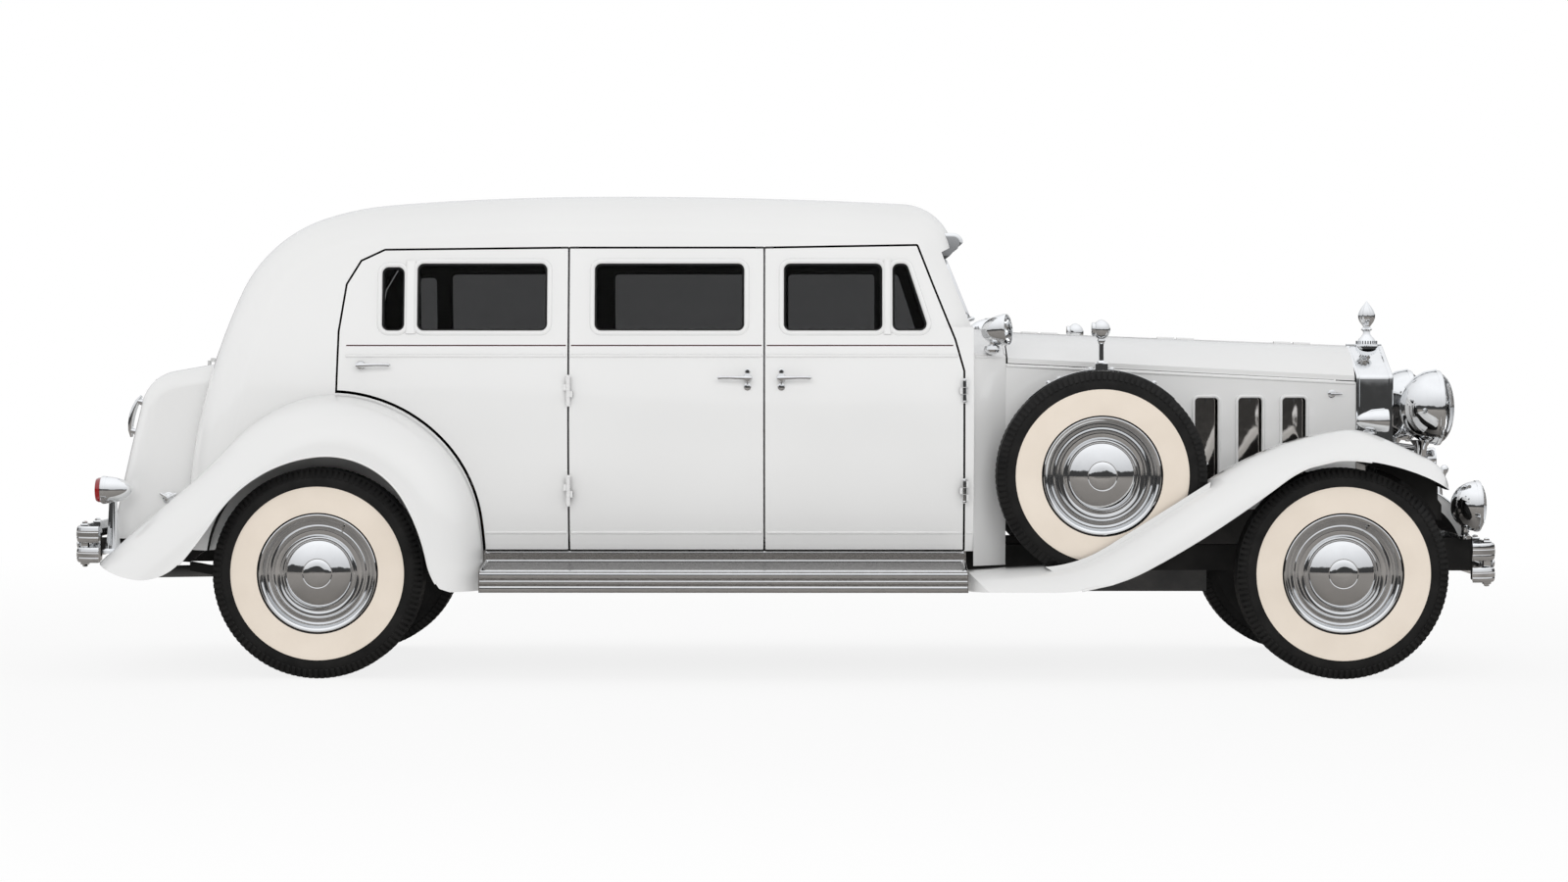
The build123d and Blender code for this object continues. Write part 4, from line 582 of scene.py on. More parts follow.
WHEEL_PROFILE = [
    # distance out from the wheel's middle plane, radius: from the rim's lip to the medallion
    (0.0560, 0.2180), (0.0700, 0.2270), (0.0745, 0.2285), (0.0760, 0.2255), (0.0750, 0.2200),
    (0.0700, 0.2140), (0.0600, 0.2105), (0.0450, 0.2080), (0.0400, 0.2050), (0.0400, 0.2010),
    (0.0460, 0.1970), (0.0500, 0.1920), (0.0500, 0.1880), (0.0440, 0.1840), (0.0380, 0.1800),
    (0.0380, 0.1760), (0.0420, 0.1730), (0.0470, 0.1680), (0.0475, 0.1560), (0.0450, 0.1500),
    (0.0400, 0.1460), (0.0370, 0.1400), (0.0380, 0.1365), (0.0440, 0.1340), (0.0540, 0.1240),
    (0.0640, 0.1060), (0.0730, 0.0860), (0.0790, 0.0680), (0.0815, 0.0580), (0.0805, 0.0550),
    (0.0830, 0.0520), (0.0870, 0.0440), (0.0895, 0.0280), (0.0900, 0.0000),
]
WHEEL_BACK = [
    # the wheel's hidden side, from the rim's inner lip to the hub
    (0.0560, 0.2180), (-0.0540, 0.2180), (-0.0700, 0.2320), (-0.0560, 0.2140), (-0.0500, 0.1960),
    (0.0140, 0.1940), (0.0100, 0.1000), (-0.0200, 0.0700), (-0.0200, 0.0330),
]


def shoulder_lugs(piece, centre, side):
    """Rubber blocks standing round both edges of the tread."""
    for face in (-1, 1):
        for i in range(LUGS):
            start = 2 * pi * i / LUGS
            points = []
            for angle in (start, start + 0.58 * 2 * pi / LUGS):
                for out, radius in ((0.0600, 0.4080), (0.0610, 0.3960), (0.0815, 0.3720),
                                    (0.0838, 0.3755), (0.0745, 0.3920), (0.0640, 0.4080)):
                    points.append((centre.x + radius * sin(angle), centre.y + face * side * out,
                                   centre.z + radius * cos(angle)))
            piece.put(points, grid(2, 6, False, True) + [tuple(range(6)), tuple(range(6, 12))],
                      "rubber")


def tyre_walls(piece, centre, side, count):
    """Both side walls of a tyre, the outer one with its pale band."""
    for face in (-1, 1):
        for first, last in zip(TYRE_PROFILE, TYRE_PROFILE[1:]):
            wall = lathe([first[:2], last[:2]], centre, (0, face, 0), count)
            piece.put(*wall, first[2] if face == side else "rubber")


def make_tyre(node, body, side):
    """Whitewall tyre with ribbed tread and notched shoulders, over the plain CAD tyre."""
    lo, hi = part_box(node)
    centre = (lo + hi) / 2
    piece = Piece(f"{node}_dressed", body, "tyre")
    tyre_walls(piece, centre, side, 128)
    tread = []
    for low, high in TREAD_RIBS:
        tread += [(low, TREAD_RADIUS - GROOVE_DEPTH), (low + 0.001, TREAD_RADIUS),
                  (high - 0.001, TREAD_RADIUS), (high, TREAD_RADIUS - GROOVE_DEPTH)]
    tread = [(-0.0590, 0.4005)] + tread[1:-1] + [(0.0590, 0.4005)]
    piece.put(*lathe(tread, centre, (0, 1, 0), 128), "rubber")
    bore = [(-0.0560, 0.2235), (0.0560, 0.2235)]
    piece.put(*lathe(bore, centre, (0, 1, 0), 128), "rubber")
    shoulder_lugs(piece, centre, side)
    piece.done([node], sharp=28.0)


def make_wheel(node, body, side, centre):
    """Chromed disc wheel with its rim band, stepped rings and plain medallion."""
    piece = Piece(f"{node}_dressed", body, "chrome")
    toward = (0, side, 0)
    piece.put(*lathe(WHEEL_PROFILE, centre, toward, 128), "chrome")
    piece.put(*lathe(WHEEL_BACK, centre, toward, 96), "black")
    valve = Vector(centre) + Vector((0.203 * sin(0.5), side * 0.044, 0.203 * cos(0.5)))
    piece.put(*tube([valve, valve + Vector((0, side * 0.030, 0))], 0.004, 8), "nickel")
    return piece


def make_wheels():
    """The four road wheels and the two spares."""
    for end in ("front", "rear"):
        for name, side in SIDES.items():
            node = f"wheel_{end}_{name}"
            tyre = f"tyre_{end}_{name}"
            lo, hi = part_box(tyre)
            make_tyre(tyre, node, side)
            make_wheel(node, node, side, (lo + hi) / 2).done([node], sharp=26.0)
    lo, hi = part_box("spare_tyres")
    middle = (lo + hi) / 2
    half = (hi.y - lo.y) / 2 - TYRE_HALF
    made = Piece("spare_wheels_dressed", "car", "chrome")
    tyres = Piece("spare_tyres_dressed", "car", "tyre")
    for name, side in SIDES.items():
        centre = Vector((middle.x, side * half, middle.z))
        wheel = make_wheel("spare", "car", side, centre)
        made.put(wheel.points, [f for f, t in zip(wheel.faces, wheel.tags) if wheel.looks[t] == "chrome"],
                 "chrome")
        tyre_walls(tyres, centre, side, 112)
        flat = [(-0.0590, 0.4005), (-0.0540, TREAD_RADIUS), (0.0540, TREAD_RADIUS), (0.0590, 0.4005)]
        tyres.put(*lathe(flat, centre, (0, 1, 0), 112), "rubber")
        shoulder_lugs(tyres, centre, side)
    made.done(["spare_wheels"], sharp=26.0)
    tyres.done(["spare_tyres"], sharp=28.0)


# ================================================================ lamps
def lamp(piece, at, length, radius, lens, toward=(1, 0, 0), glass="lens", inside="chrome"):
    """Bullet lamp: bowl, rim band, reflector, bulb and lens; at is the rim's middle.

    length is the bowl's, and lens the height of the lens ahead of the rim."""
    bowl = [(-length * cos(a), radius * 0.97 * sin(a)) for a in [pi / 2 * i / 20 for i in range(21)]]
    bowl += [(0.004, radius * 0.975)]
    piece.put(*lathe(bowl, at, toward, 72), "chrome")
    rim = [(-0.006, radius * 0.965), (-0.006, radius * 0.995), (0.002, radius * 1.004),
           (0.010, radius * 0.995), (0.014, radius * 0.965), (0.012, radius * 0.925),
           (0.004, radius * 0.920)]
    piece.put(*lathe(rim, at, toward, 72), "chrome")
    if inside:
        reflector = [(0.006 - 0.62 * length * (1 - (i / 10) ** 2), radius * 0.92 * i / 10)
                     for i in range(11)]
        piece.put(*lathe(reflector, at, toward, 48), inside)
        bulb = [(0.006 - 0.60 * length, 0.0), (0.006 - 0.60 * length, 0.008),
                (0.006 - 0.35 * length, 0.010), (0.006 - 0.28 * length, 0.006),
                (0.006 - 0.26 * length, 0.0)]
        piece.put(*lathe(bulb, at, toward, 16), "clear")
    dome = [(0.008 + (lens - 0.008) * cos(a), radius * 0.925 * sin(a))
            for a in [pi / 2 * i / 12 for i in range(13)]]
    piece.put(*lathe(dome, at, toward, 64), glass)


HEADLAMP = Vector((2.592, 0.350, 1.043))
SIDE_LAMP = Vector((2.330, 0.700, 0.998))
FOG_LAMP = Vector((2.723, 0.500, 0.658))
SPOT_LAMP = Vector((0.858, 0.668, 1.351))
TAIL_LAMP = Vector((-2.660, 0.640, 0.725))


def beside(at, side):
    """The place mirrored to a side of the car."""
    return Vector((at.x, side * abs(at.y), at.z))


def make_headlamps():
    """Big bullet headlamps on curved posts, the tie bar and two small horns below."""
    piece = Piece("headlamps_dressed", "car", "chrome")
    for side in SIDES.values():
        at = beside(HEADLAMP, side)
        lamp(piece, at, 0.146, 0.149, 0.066)
        crest = [at + Vector((x, 0, z)) for x, z in [(-0.125, 0.080), (-0.090, 0.119),
                                                     (-0.050, 0.141), (0.0, 0.151)]]
        piece.put(*tube(crest, 0.004, 8), "chrome")
        x = at.x - 0.062
        post = [(x, at.y, 0.515), (x, at.y, 0.86), (x, at.y, 0.90)]
        piece.put(*tube(post, [0.021, 0.019, 0.017], 20), "chrome")
        cup = [(0.0, 0.030), (0.012, 0.034), (0.024, 0.024), (0.060, 0.020), (0.100, 0.026),
               (0.125, 0.044)]
        piece.put(*lathe(cup, (x, at.y, 0.790), UP, 32), "chrome")
        piece.put(*plate(rounded(-0.055, 0.055, -0.034, 0.034, 0.012), (at.x - 0.065, at.y, 0.500),
                         (1, 0, 0), (0, 1, 0), 0.021, 0.002), "black")
        horn = beside(Vector((2.590, 0.240, 0.835)), side)
        lamp(piece, horn, 0.070, 0.048, 0.014, glass="clear")
        arm = [(horn.x - 0.050, horn.y, horn.z - 0.010), (horn.x - 0.058, horn.y, 0.862),
               (horn.x - 0.060, horn.y, 0.880)]
        piece.put(*tube(arm, 0.010, 12), "chrome")
    x = HEADLAMP.x - 0.062
    bar = [(x, y * HEADLAMP.y, 0.880) for y in (-1, -0.5, 0, 0.5, 1)]
    piece.put(*tube(bar, 0.0125, 16), "chrome")
    return piece


def make_small_lamps():
    """Fender, fog and cowl lamps on their stems, over the small_lamps node."""
    piece = Piece("small_lamps_dressed", "car", "chrome")
    fender = Skin("front_fenders")
    cowl = Skin("cowl", "body_shell")
    for side in SIDES.values():
        at = beside(SIDE_LAMP, side)
        lamp(piece, at, 0.110, 0.045, 0.018)
        foot = fender.cast((at.x - 0.060, at.y, 1.4), DOWN)[0]
        rise = at.z - 0.030 - foot.z
        stem = [(-0.002, 0.030), (0.004, 0.029), (0.012, 0.016), (0.5 * rise, 0.012), (rise, 0.014)]
        piece.put(*lathe(stem, foot, UP, 28), "chrome")
        piece.put(*tube([at + Vector((-0.098, 0, 0.018)), at + Vector((-0.05, 0, 0.041)),
                         at + Vector((0.0, 0, 0.046))], 0.0025, 6), "chrome")
        at = beside(FOG_LAMP, side)
        lamp(piece, at, 0.100, 0.101, 0.038)
        foot = Vector((at.x - 0.045, at.y, 0.5285))
        stem = [(0.0, 0.026), (0.012, 0.026), (0.016, 0.014), (0.040, 0.012), (0.070, 0.020)]
        piece.put(*lathe(stem, foot, UP, 28), "chrome")
        inner_y = 0.385
        half = (abs(at.y) + 0.016 - inner_y) / 2
        piece.put(*plate(rounded(-0.016, 0.016, -half, half, 0.006),
                         (at.x - 0.045, side * (inner_y + half), 0.5283), (1, 0, 0), (0, 1, 0),
                         0.012, 0.0015), "chrome")
        at = beside(SPOT_LAMP, side)
        lamp(piece, at, 0.096, 0.062, 0.018, (0.94, side * 0.32, 0.10))
        foot = cowl.beside(at.x - 0.060, BELT_Z, side)
        foot = foot[0] if foot else at - Vector((0.06, side * 0.02, 0.09))
        elbow = Vector((at.x - 0.050, at.y, 1.272))
        piece.put(*tube([foot, elbow, elbow + Vector((0, 0, 0.02)), Vector((elbow.x, at.y, at.z - 0.04))],
                        [0.016, 0.012, 0.011, 0.012], 16), "chrome")
        cup = [(0.0, 0.012), (0.008, 0.028), (0.018, 0.034), (0.032, 0.030), (0.038, 0.012)]
        piece.put(*lathe(cup, elbow + Vector((0, 0, -0.016)), UP, 32), "chrome")
    return piece


def make_tail_lamps():
    """Bullet tail lamps with red lenses, on flared pedestals."""
    piece = Piece("tail_lamps_dressed", "car", "chrome")
    fender = Skin("rear_fenders")
    for side in SIDES.values():
        at = beside(TAIL_LAMP, side)
        lamp(piece, at, 0.106, 0.054, 0.012, (-1, 0, 0), "red", None)
        drum = [(0.004, 0.050), (0.012, 0.0485), (0.026, 0.0480), (0.034, 0.044), (0.037, 0.030),
                (0.038, 0.0)]
        piece.put(*lathe(drum, at, (-1, 0, 0), 48), "red")
        band = [(0.000, 0.050), (0.003, 0.0545), (0.010, 0.0545), (0.013, 0.050)]
        piece.put(*lathe(band, at, (-1, 0, 0), 48), "chrome")
        foot = fender.cast((at.x + 0.030, at.y, 0.690), DOWN)
        base = foot[0].z if foot else 0.540
        rise = at.z - 0.036 - base
        stem = [(-0.006, 0.046), (0.004, 0.044), (0.012, 0.030), (0.45 * rise, 0.021),
                (rise, 0.015)]
        piece.put(*lathe(stem, (at.x + 0.030, at.y, base), UP, 36), "chrome")
    return piece


# ================================================================ coachwork trim
SEAMS = {"front": (-0.076, 0.694), "middle": (-0.838, -0.084), "rear": (-1.742, -0.846)}
WINDOWS = [
    # door, corners (x, z) of the opening, anticlockwise seen from the car's left
    ("front", [(-0.004, 1.348), (0.380, 1.348), (0.380, 1.610), (-0.004, 1.610)]),
    ("front", [(0.419, 1.348), (0.562, 1.348), (0.476, 1.610), (0.419, 1.610)]),
    ("middle", [(-0.741, 1.348), (-0.158, 1.348), (-0.158, 1.610), (-0.741, 1.610)]),
    ("rear", [(-1.570, 1.348), (-1.483, 1.348), (-1.483, 1.596), (-1.570, 1.596)]),
    ("rear", [(-1.433, 1.348), (-0.926, 1.348), (-0.926, 1.610), (-1.433, 1.610)]),
]
WINDOW_RADIUS = 0.026
STRIPE_Z = 1.290
BELT_MOULD_Z = 1.249
SILL_MOULD_Z = 0.560


def soften(corners, radius, steps=6):
    """Corners rounded to a radius."""
    made = []
    for i, corner in enumerate(corners):
        at = Vector(corner)
        before = (Vector(corners[i - 1]) - at).normalized()
        after = (Vector(corners[(i + 1) % len(corners)]) - at).normalized()
        half = before.angle(after) / 2
        run = radius / (sin(half) / cos(half))
        middle = at + (before + after).normalized() * (radius / sin(half))
        start, end = at + before * run, at + after * run
        a0 = atan2(start.y - middle.y, start.x - middle.x)
        turn = (atan2(end.y - middle.y, end.x - middle.x) - a0 + pi) % (2 * pi) - pi
        made += [(middle.x + radius * cos(a0 + turn * k / steps),
                  middle.y + radius * sin(a0 + turn * k / steps)) for k in range(steps + 1)]
    return made


def line_on(skin, side, x0, x1, z, step=0.03):
    """Level line laid on the side of the car."""
    count = max(2, int(abs(x1 - x0) / step))
    return skin.lay([(x0 + (x1 - x0) * i / count, z) for i in range(count + 1)], side)


def trim_doors():
    """Window mouldings and seals, pinstripe, belt and sill mouldings on each door."""
    for name, side in SIDES.items():
        for part, (x0, x1) in SEAMS.items():
            node = f"door_{part}_{name}"
            skin = Skin(node)
            piece = Piece(f"{node}_trim", node, "paint")
            for door, corners in WINDOWS:
                if door != part:
                    continue
                outline = dense(soften(corners, WINDOW_RADIUS), 0.04)
                around = grow(outline, 0.010)
                piece.put(*strip(*skin.lay(around, side), half_round(0.018, 0.007), True), "bead")
                inner = grow(outline, -0.003)
                frame_path, normals = lean_on_side(inner, side, 0.010)
                piece.put(*strip(frame_path, normals, half_round(0.008, 0.006), True), "seal")
                frame_path, normals = lean_on_side(grow(outline, -0.004), side, 0.024)
                piece.put(*strip(frame_path, normals, half_round(0.010, 0.006), True), "seal")
            low, high = x0 + 0.006, x1 - 0.006
            start = max(low, -1.708) if part == "rear" else low
            end = min(high, 0.655) if part == "front" else high
            stripe = [(0.0024, 0.0), (0.0024, 0.0006), (-0.0024, 0.0006), (-0.0024, 0.0)]
            piece.put(*strip(*line_on(skin, side, start, end, STRIPE_Z), stripe), "pinstripe")
            path = line_on(skin, side, start, min(high, 0.672) if part == "front" else high,
                           BELT_MOULD_Z)
            piece.put(*strip(*path, half_round(0.013, 0.007)), "bead")
            low = max(low, -1.262) if part == "rear" else low
            piece.put(*strip(*line_on(skin, side, low, high, SILL_MOULD_Z), half_round(0.012, 0.004)),
                      "bead")
            if part == "front":
                divider(piece, side, 0.381, 0.418, 1.333, 1.625)
            if part == "rear":
                divider(piece, side, -1.481, -1.435, 1.335, 1.620)
            piece.done()


BELT_Z = 1.262
BELT_HALF = 0.700           # half width of the body at the belt
SIDE_LEAN = 0.1274          # how far the side leans in for each metre above the belt


def side_y(z):
    """Half width of the body above the belt, in metres."""
    return BELT_HALF - SIDE_LEAN * max(0.0, z - BELT_Z)


def lean_on_side(outline, side, depth):
    """Outline of (x, z) points set back into the body's side by depth: (points, normals)."""
    tilt = Vector((0.0, side, SIDE_LEAN)).normalized()
    points = [Vector((x, side * side_y(z), z)) - tilt * depth for x, z in outline]
    return points, [tilt] * len(points)


def divider(piece, side, x0, x1, z0, z1):
    """White upright bar that stands a little proud between two windows."""
    middle = (x0 + x1) / 2
    path = [Vector((middle, side * side_y(z), z)) for z in (z0, z0 + 0.006, z1 - 0.006, z1)]
    tilt = Vector((0.0, side, SIDE_LEAN)).normalized()
    half = (x1 - x0) / 2 - 0.004
    section = [(half, -0.006), (half, 0.006), (half - 0.006, 0.011), (-half + 0.006, 0.011),
               (-half, 0.006), (-half, -0.006)]
    piece.put(*strip(path, [tilt] * 4, section), "bead")


HANDLES = [
    # door, x and z of the rose, and which way the lever points along x
    ("rear", -1.650, 1.212, 1),
    ("middle", -0.145, 1.163, -1),
    ("front", -0.013, 1.163, 1),
]


def make_handles():
    """Lever handles on round roses, with a key barrel below those of the front and middle doors."""
    for name, side in SIDES.items():
        for part, x, z, way in HANDLES:
            node = f"door_{part}_{name}"
            skin = Skin(node)
            at = skin.beside(x, z, side)[0]
            out = Vector((0, side, 0))
            piece = Piece(f"{node}_handle", node, "chrome")
            rose = [(-0.002, 0.019), (0.003, 0.019), (0.007, 0.016), (0.009, 0.010), (0.030, 0.0085)]
            piece.put(*lathe(rose, at, out, 32), "chrome")
            hub = [(0.024, 0.0), (0.024, 0.012), (0.030, 0.0145), (0.038, 0.013), (0.043, 0.0)]
            piece.put(*lathe(hub, at, out, 32), "chrome")
            lever = [at + out * 0.034 + Vector((way * u, side * w, v)) for u, v, w in
                     [(-0.016, 0.0, 0), (0.0, 0.0, 0), (0.030, 0.001, 0.003), (0.065, 0.002, 0.004),
                      (0.095, 0.002, 0.001), (0.112, 0.001, -0.003), (0.118, 0.001, -0.006)]]
            piece.put(*tube(lever, [0.006, 0.0095, 0.0075, 0.0062, 0.0066, 0.0072, 0.003], 16), "chrome")
            if part != "rear":
                lock_at = skin.beside(x, z - 0.034, side)[0]
                barrel = [(-0.002, 0.014), (0.004, 0.014), (0.006, 0.011), (0.012, 0.010), (0.013, 0.0)]
                piece.put(*lathe(barrel, lock_at, out, 28), "chrome")
                ring_at = skin.beside(x, z + 0.026, side)[0]
                piece.put(*lathe([(-0.002, 0.010), (0.004, 0.010), (0.006, 0.007), (0.006, 0.0)],
                                 ring_at, out, 24), "chrome")
            piece.done()


HINGES = ((0.698, 0.078), (-0.842, 0.104))      # x of each pin, and length of its knuckles
HINGE_Z = (1.114, 0.725)
HINGE_Y = 0.727
KNUCKLE_STEP = 0.026


def make_hinge_covers():
    """Ball ends of the hinge pins, and polished sleeves over the front doors' knuckles."""
    piece = Piece("hinge_caps", "car", "chrome")
    for side in SIDES.values():
        for x, length in HINGES:
            for z in HINGE_Z:
                for way in (-1, 1):
                    at = (x, side * HINGE_Y, z + way * length / 2)
                    ball = [(0.0, 0.0082), (0.002, 0.0090), (0.006, 0.0082), (0.009, 0.005), (0.0105, 0.0)]
                    finish = "chrome" if x > 0 else "bead"
                    piece.put(*lathe(ball, at, (0, 0, way), 20), finish)
            if x > 0:
                for z in HINGE_Z:
                    for k in (-1, 0, 1):
                        at = (x, side * HINGE_Y, z + k * KNUCKLE_STEP)
                        body = [(-0.0122, 0.0081), (-0.0118, 0.0085), (0.0118, 0.0085),
                                (0.0122, 0.0081)]
                        piece.put(*lathe(body, at, UP, 20), "chrome")
    piece.done()


COWL_EDGE_X = 0.862         # front edge of the cowl


def body_lines():
    """Belt and sill mouldings that carry on over the body and cowl, and the cowl's front edge."""
    body, cowl = Skin("body_shell"), Skin("cowl", "bonnet_sides")
    piece = Piece("body_lines", "car", "paint")
    for side in SIDES.values():
        piece.put(*strip(*line_on(cowl, side, 0.742, COWL_EDGE_X, 1.246, 0.02), half_round(0.012, 0.004)),
                  "bead")
        cap = cowl.beside(0.868, 1.240, side)
        if cap:
            piece.put(*lathe([(-0.002, 0.010), (0.004, 0.010), (0.006, 0.004), (0.006, 0.0)],
                             cap[0], (0, side, 0), 20), "seal")
        sill = [(x, 0.560) for x in (0.708, 0.716, 0.724, 0.730)]
        path = body.lay(sill, side)
        if len(path[0]) > 1:
            piece.put(*strip(*path, half_round(0.012, 0.004)), "bead")
    edge = cowl.trace([(COWL_EDGE_X, -0.56 + 1.12 * i / 24, 1.6) for i in range(25)], DOWN)
    piece.put(*strip(*edge, half_round(0.010, 0.004)), "bead")
    piece.done()


BONNET_X = (0.868, 2.276)   # the bonnet's shoulder, from the cowl to the radiator
BONNET_Z = (1.240, 1.169)


def bonnet_edge(t):
    """Shoulder of the bonnet at share t of its length: (x, z)."""
    return tuple(start + (end - start) * t for start, end in (BONNET_X, BONNET_Z))


VENTS_X = [(1.623, 1.715), (1.799, 1.894), (1.979, 2.074)]
VENT_Z = (0.760, 1.083)


def make_bonnet_trim():
    """Framed vent doors, the shoulder moulding and latches of the bonnet."""
    piece = Piece("bonnet_trim", "car", "paint")
    skin = Skin("bonnet_sides")
    for side in SIDES.values():
        for x0, x1 in VENTS_X:
            low, high = VENT_Z
            outline = dense(soften([(x0, low), (x1, low), (x1, high), (x0, high)], 0.014), 0.05)
            around = grow(outline, 0.007)
            piece.put(*strip(*skin.lay(around, side), half_round(0.014, 0.007), True), "bead")
            at, normal = skin.beside(x0 - 0.012, 0.9, side)
            ahead = skin.beside(x1 + 0.012, 0.9, side)[0]
            along = (ahead - at).normalized()
            centre = (at + ahead) / 2 - normal * 0.012
            rows = []
            for j in range(9):
                v = -1 + 2 * j / 8
                for i in range(7):
                    u = -1 + 2 * i / 6
                    dish = 0.006 * (1 - u * u)
                    spot = centre + along * (u * (x1 - x0) / 2) + normal * dish
                    rows.append((spot.x, spot.y, (low + high) / 2 + v * (high - low) / 2))
            piece.put(rows, grid(9, 7), "mirror")
            knob = centre + normal * 0.008
            piece.put(*lathe([(-0.004, 0.006), (0.010, 0.008), (0.014, 0.007), (0.015, 0.0)],
                             (knob.x, knob.y, 0.820), normal, 16), "chrome")
            for z in (high - 0.006, low + 0.006):
                pin = centre + normal * 0.006
                piece.put(*tube([(pin.x, pin.y, z - 0.010), (pin.x, pin.y, z + 0.010)], 0.004, 8),
                          "chrome")
        edge = [bonnet_edge(i / 24) for i in range(25)]
        path = skin.trace([(x, side * 1.2, z - 0.028) for x, z in edge], (0, -side, 0))
        piece.put(*strip(*path, half_round(0.013, 0.006)), "bead")
        for x in (1.08, 2.18):
            share = (x - BONNET_X[0]) / (BONNET_X[1] - BONNET_X[0])
            at, normal = skin.beside(x, bonnet_edge(share)[1] - 0.075, side)
            piece.put(*lathe([(-0.002, 0.016), (0.004, 0.016), (0.006, 0.012), (0.006, 0.0)], at,
                             normal, 24), "chrome")
            grip = [at + normal * 0.008 + Vector((u, 0, 0)) for u in (-0.006, 0.018, 0.040)]
            piece.put(*tube(grip, [0.005, 0.005, 0.0035], 10), "chrome")
    piece.done()


FENDER_BEADS = [
    # node, axle x, y of the sheet, first and last angle in degrees seen from the car's left
    ("front_fenders", 2.157, 0.8745, 40.0, 183.5),
    ("rear_fenders", -1.807, 0.871, -6.0, 176.0),
]


def make_fender_beads():
    """Rolled painted edge round the lower opening of each fender."""
    piece = Piece("fender_beads", "car", "chrome")
    for node, x0, y, first, last in FENDER_BEADS:
        skin = Skin(node)
        for side in SIDES.values():
            path = []
            count = 120
            for i in range(count + 1):
                angle = radians(first + (last - first) * i / count)
                met = skin.cast((x0, side * y, 0.408), (cos(angle), 0, sin(angle)))
                if met:
                    path.append(met[0])
            piece.put(*tube(path, 0.0052, 10), "bead")
    piece.done()


LINER_Y = 0.600             # inner panels of the front fenders
LINER_RADIUS = 0.425        # of the arc of their foot, clear of the steered tyre
LINER_AHEAD = 0.023         # how far that arc's middle lies ahead of the axle
LINER_THICK = 0.002
SHIELD_Y = 0.425            # plain upright plates beside the radiator
SHIELD = [                  # their (x, z) outline
    (2.34, 0.60), (2.60, 0.60), (2.60, 0.66), (2.54, 0.745), (2.46, 0.80), (2.34, 0.80),
]


def make_fender_liners():
    """Dark inner panels of the front fenders, round the tyres' sweep and by the radiator."""
    piece = Piece("front_fender_liners", "car", "frame")
    skin = Skin("front_fenders")
    lo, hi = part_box("tyre_front_right")
    axle = (lo + hi) / 2
    for side in SIDES.values():
        back = Vector((0, side * LINER_THICK, 0))
        rows = []
        for i in range(25):
            angle = radians(76.0 - 50.0 * i / 24)
            low = Vector((axle.x + LINER_AHEAD + LINER_RADIUS * cos(angle), side * LINER_Y,
                          axle.z + LINER_RADIUS * sin(angle)))
            met = skin.cast(low, UP)
            if met:
                high = met[0] + Vector((0, 0, 0.001))
                rows += [low, high, high + back, low + back]
        last = len(rows) - 4
        caps = [(0, 1, 2, 3), (last, last + 1, last + 2, last + 3)]
        piece.put(rows, grid(len(rows) // 4, 4, False, True) + caps, "black")
        piece.put(*plate(SHIELD, (0, side * SHIELD_Y, 0), (1, 0, 0), UP, LINER_THICK, 0.0004),
                  "black")
    piece.done()


BOARD_X = (-1.170, 0.700)   # ends of the running boards


def make_running_boards():
    """Ribbed treads between polished edges, with a polished kick plate."""
    skin = Skin("running_boards")
    piece = Piece("running_board_trim", "car", "steel")
    x0, x1 = BOARD_X
    for side in SIDES.values():
        def top(x, y):
            return skin.cast((x, side * y, 0.8), DOWN)[0]
        for i in range(17):
            y = 0.664 + 0.0112 * i
            path = [top(x0 + 0.012, y), top(x1 - 0.012, y)]
            piece.put(*strip(path, [UP, UP], half_round(0.0062, 0.0035, 4)),
                      "seal" if i % 2 else "tread_plate")
        for y, wide in ((0.8635, 0.022), (0.6530, 0.008)):
            path = [top(x0, y), top(x1, y)]
            piece.put(*strip(path, [UP, UP], half_round(wide, 0.005, 6)), "chrome")
        for z, tall, proud in ((0.404, 0.020, 0.0019), (0.378, 0.012, 0.0014), (0.352, 0.020, 0.0019)):
            y = side * 0.878
            path = [(x0 - 0.004, y, z), (x1 + 0.004, y, z)]
            piece.put(*strip(path, [Vector((0, side, 0))] * 2,
                             half_round(tall, proud, 6)), "chrome")
        for z in (0.432, 0.482):
            path = [(x0, side * 0.6462, z), (x1, side * 0.6462, z)]
            piece.put(*strip(path, [Vector((0, side, 0))] * 2, half_round(0.008, 0.003, 5)), "chrome")
        for x in (x0 + 0.002, x1 - 0.002):
            rim = [top(x, y) for y in (0.655, 0.72, 0.80, 0.872)]
            piece.put(*strip(rim, [UP] * 4, half_round(0.012, 0.004, 5)), "chrome")
    piece.done()


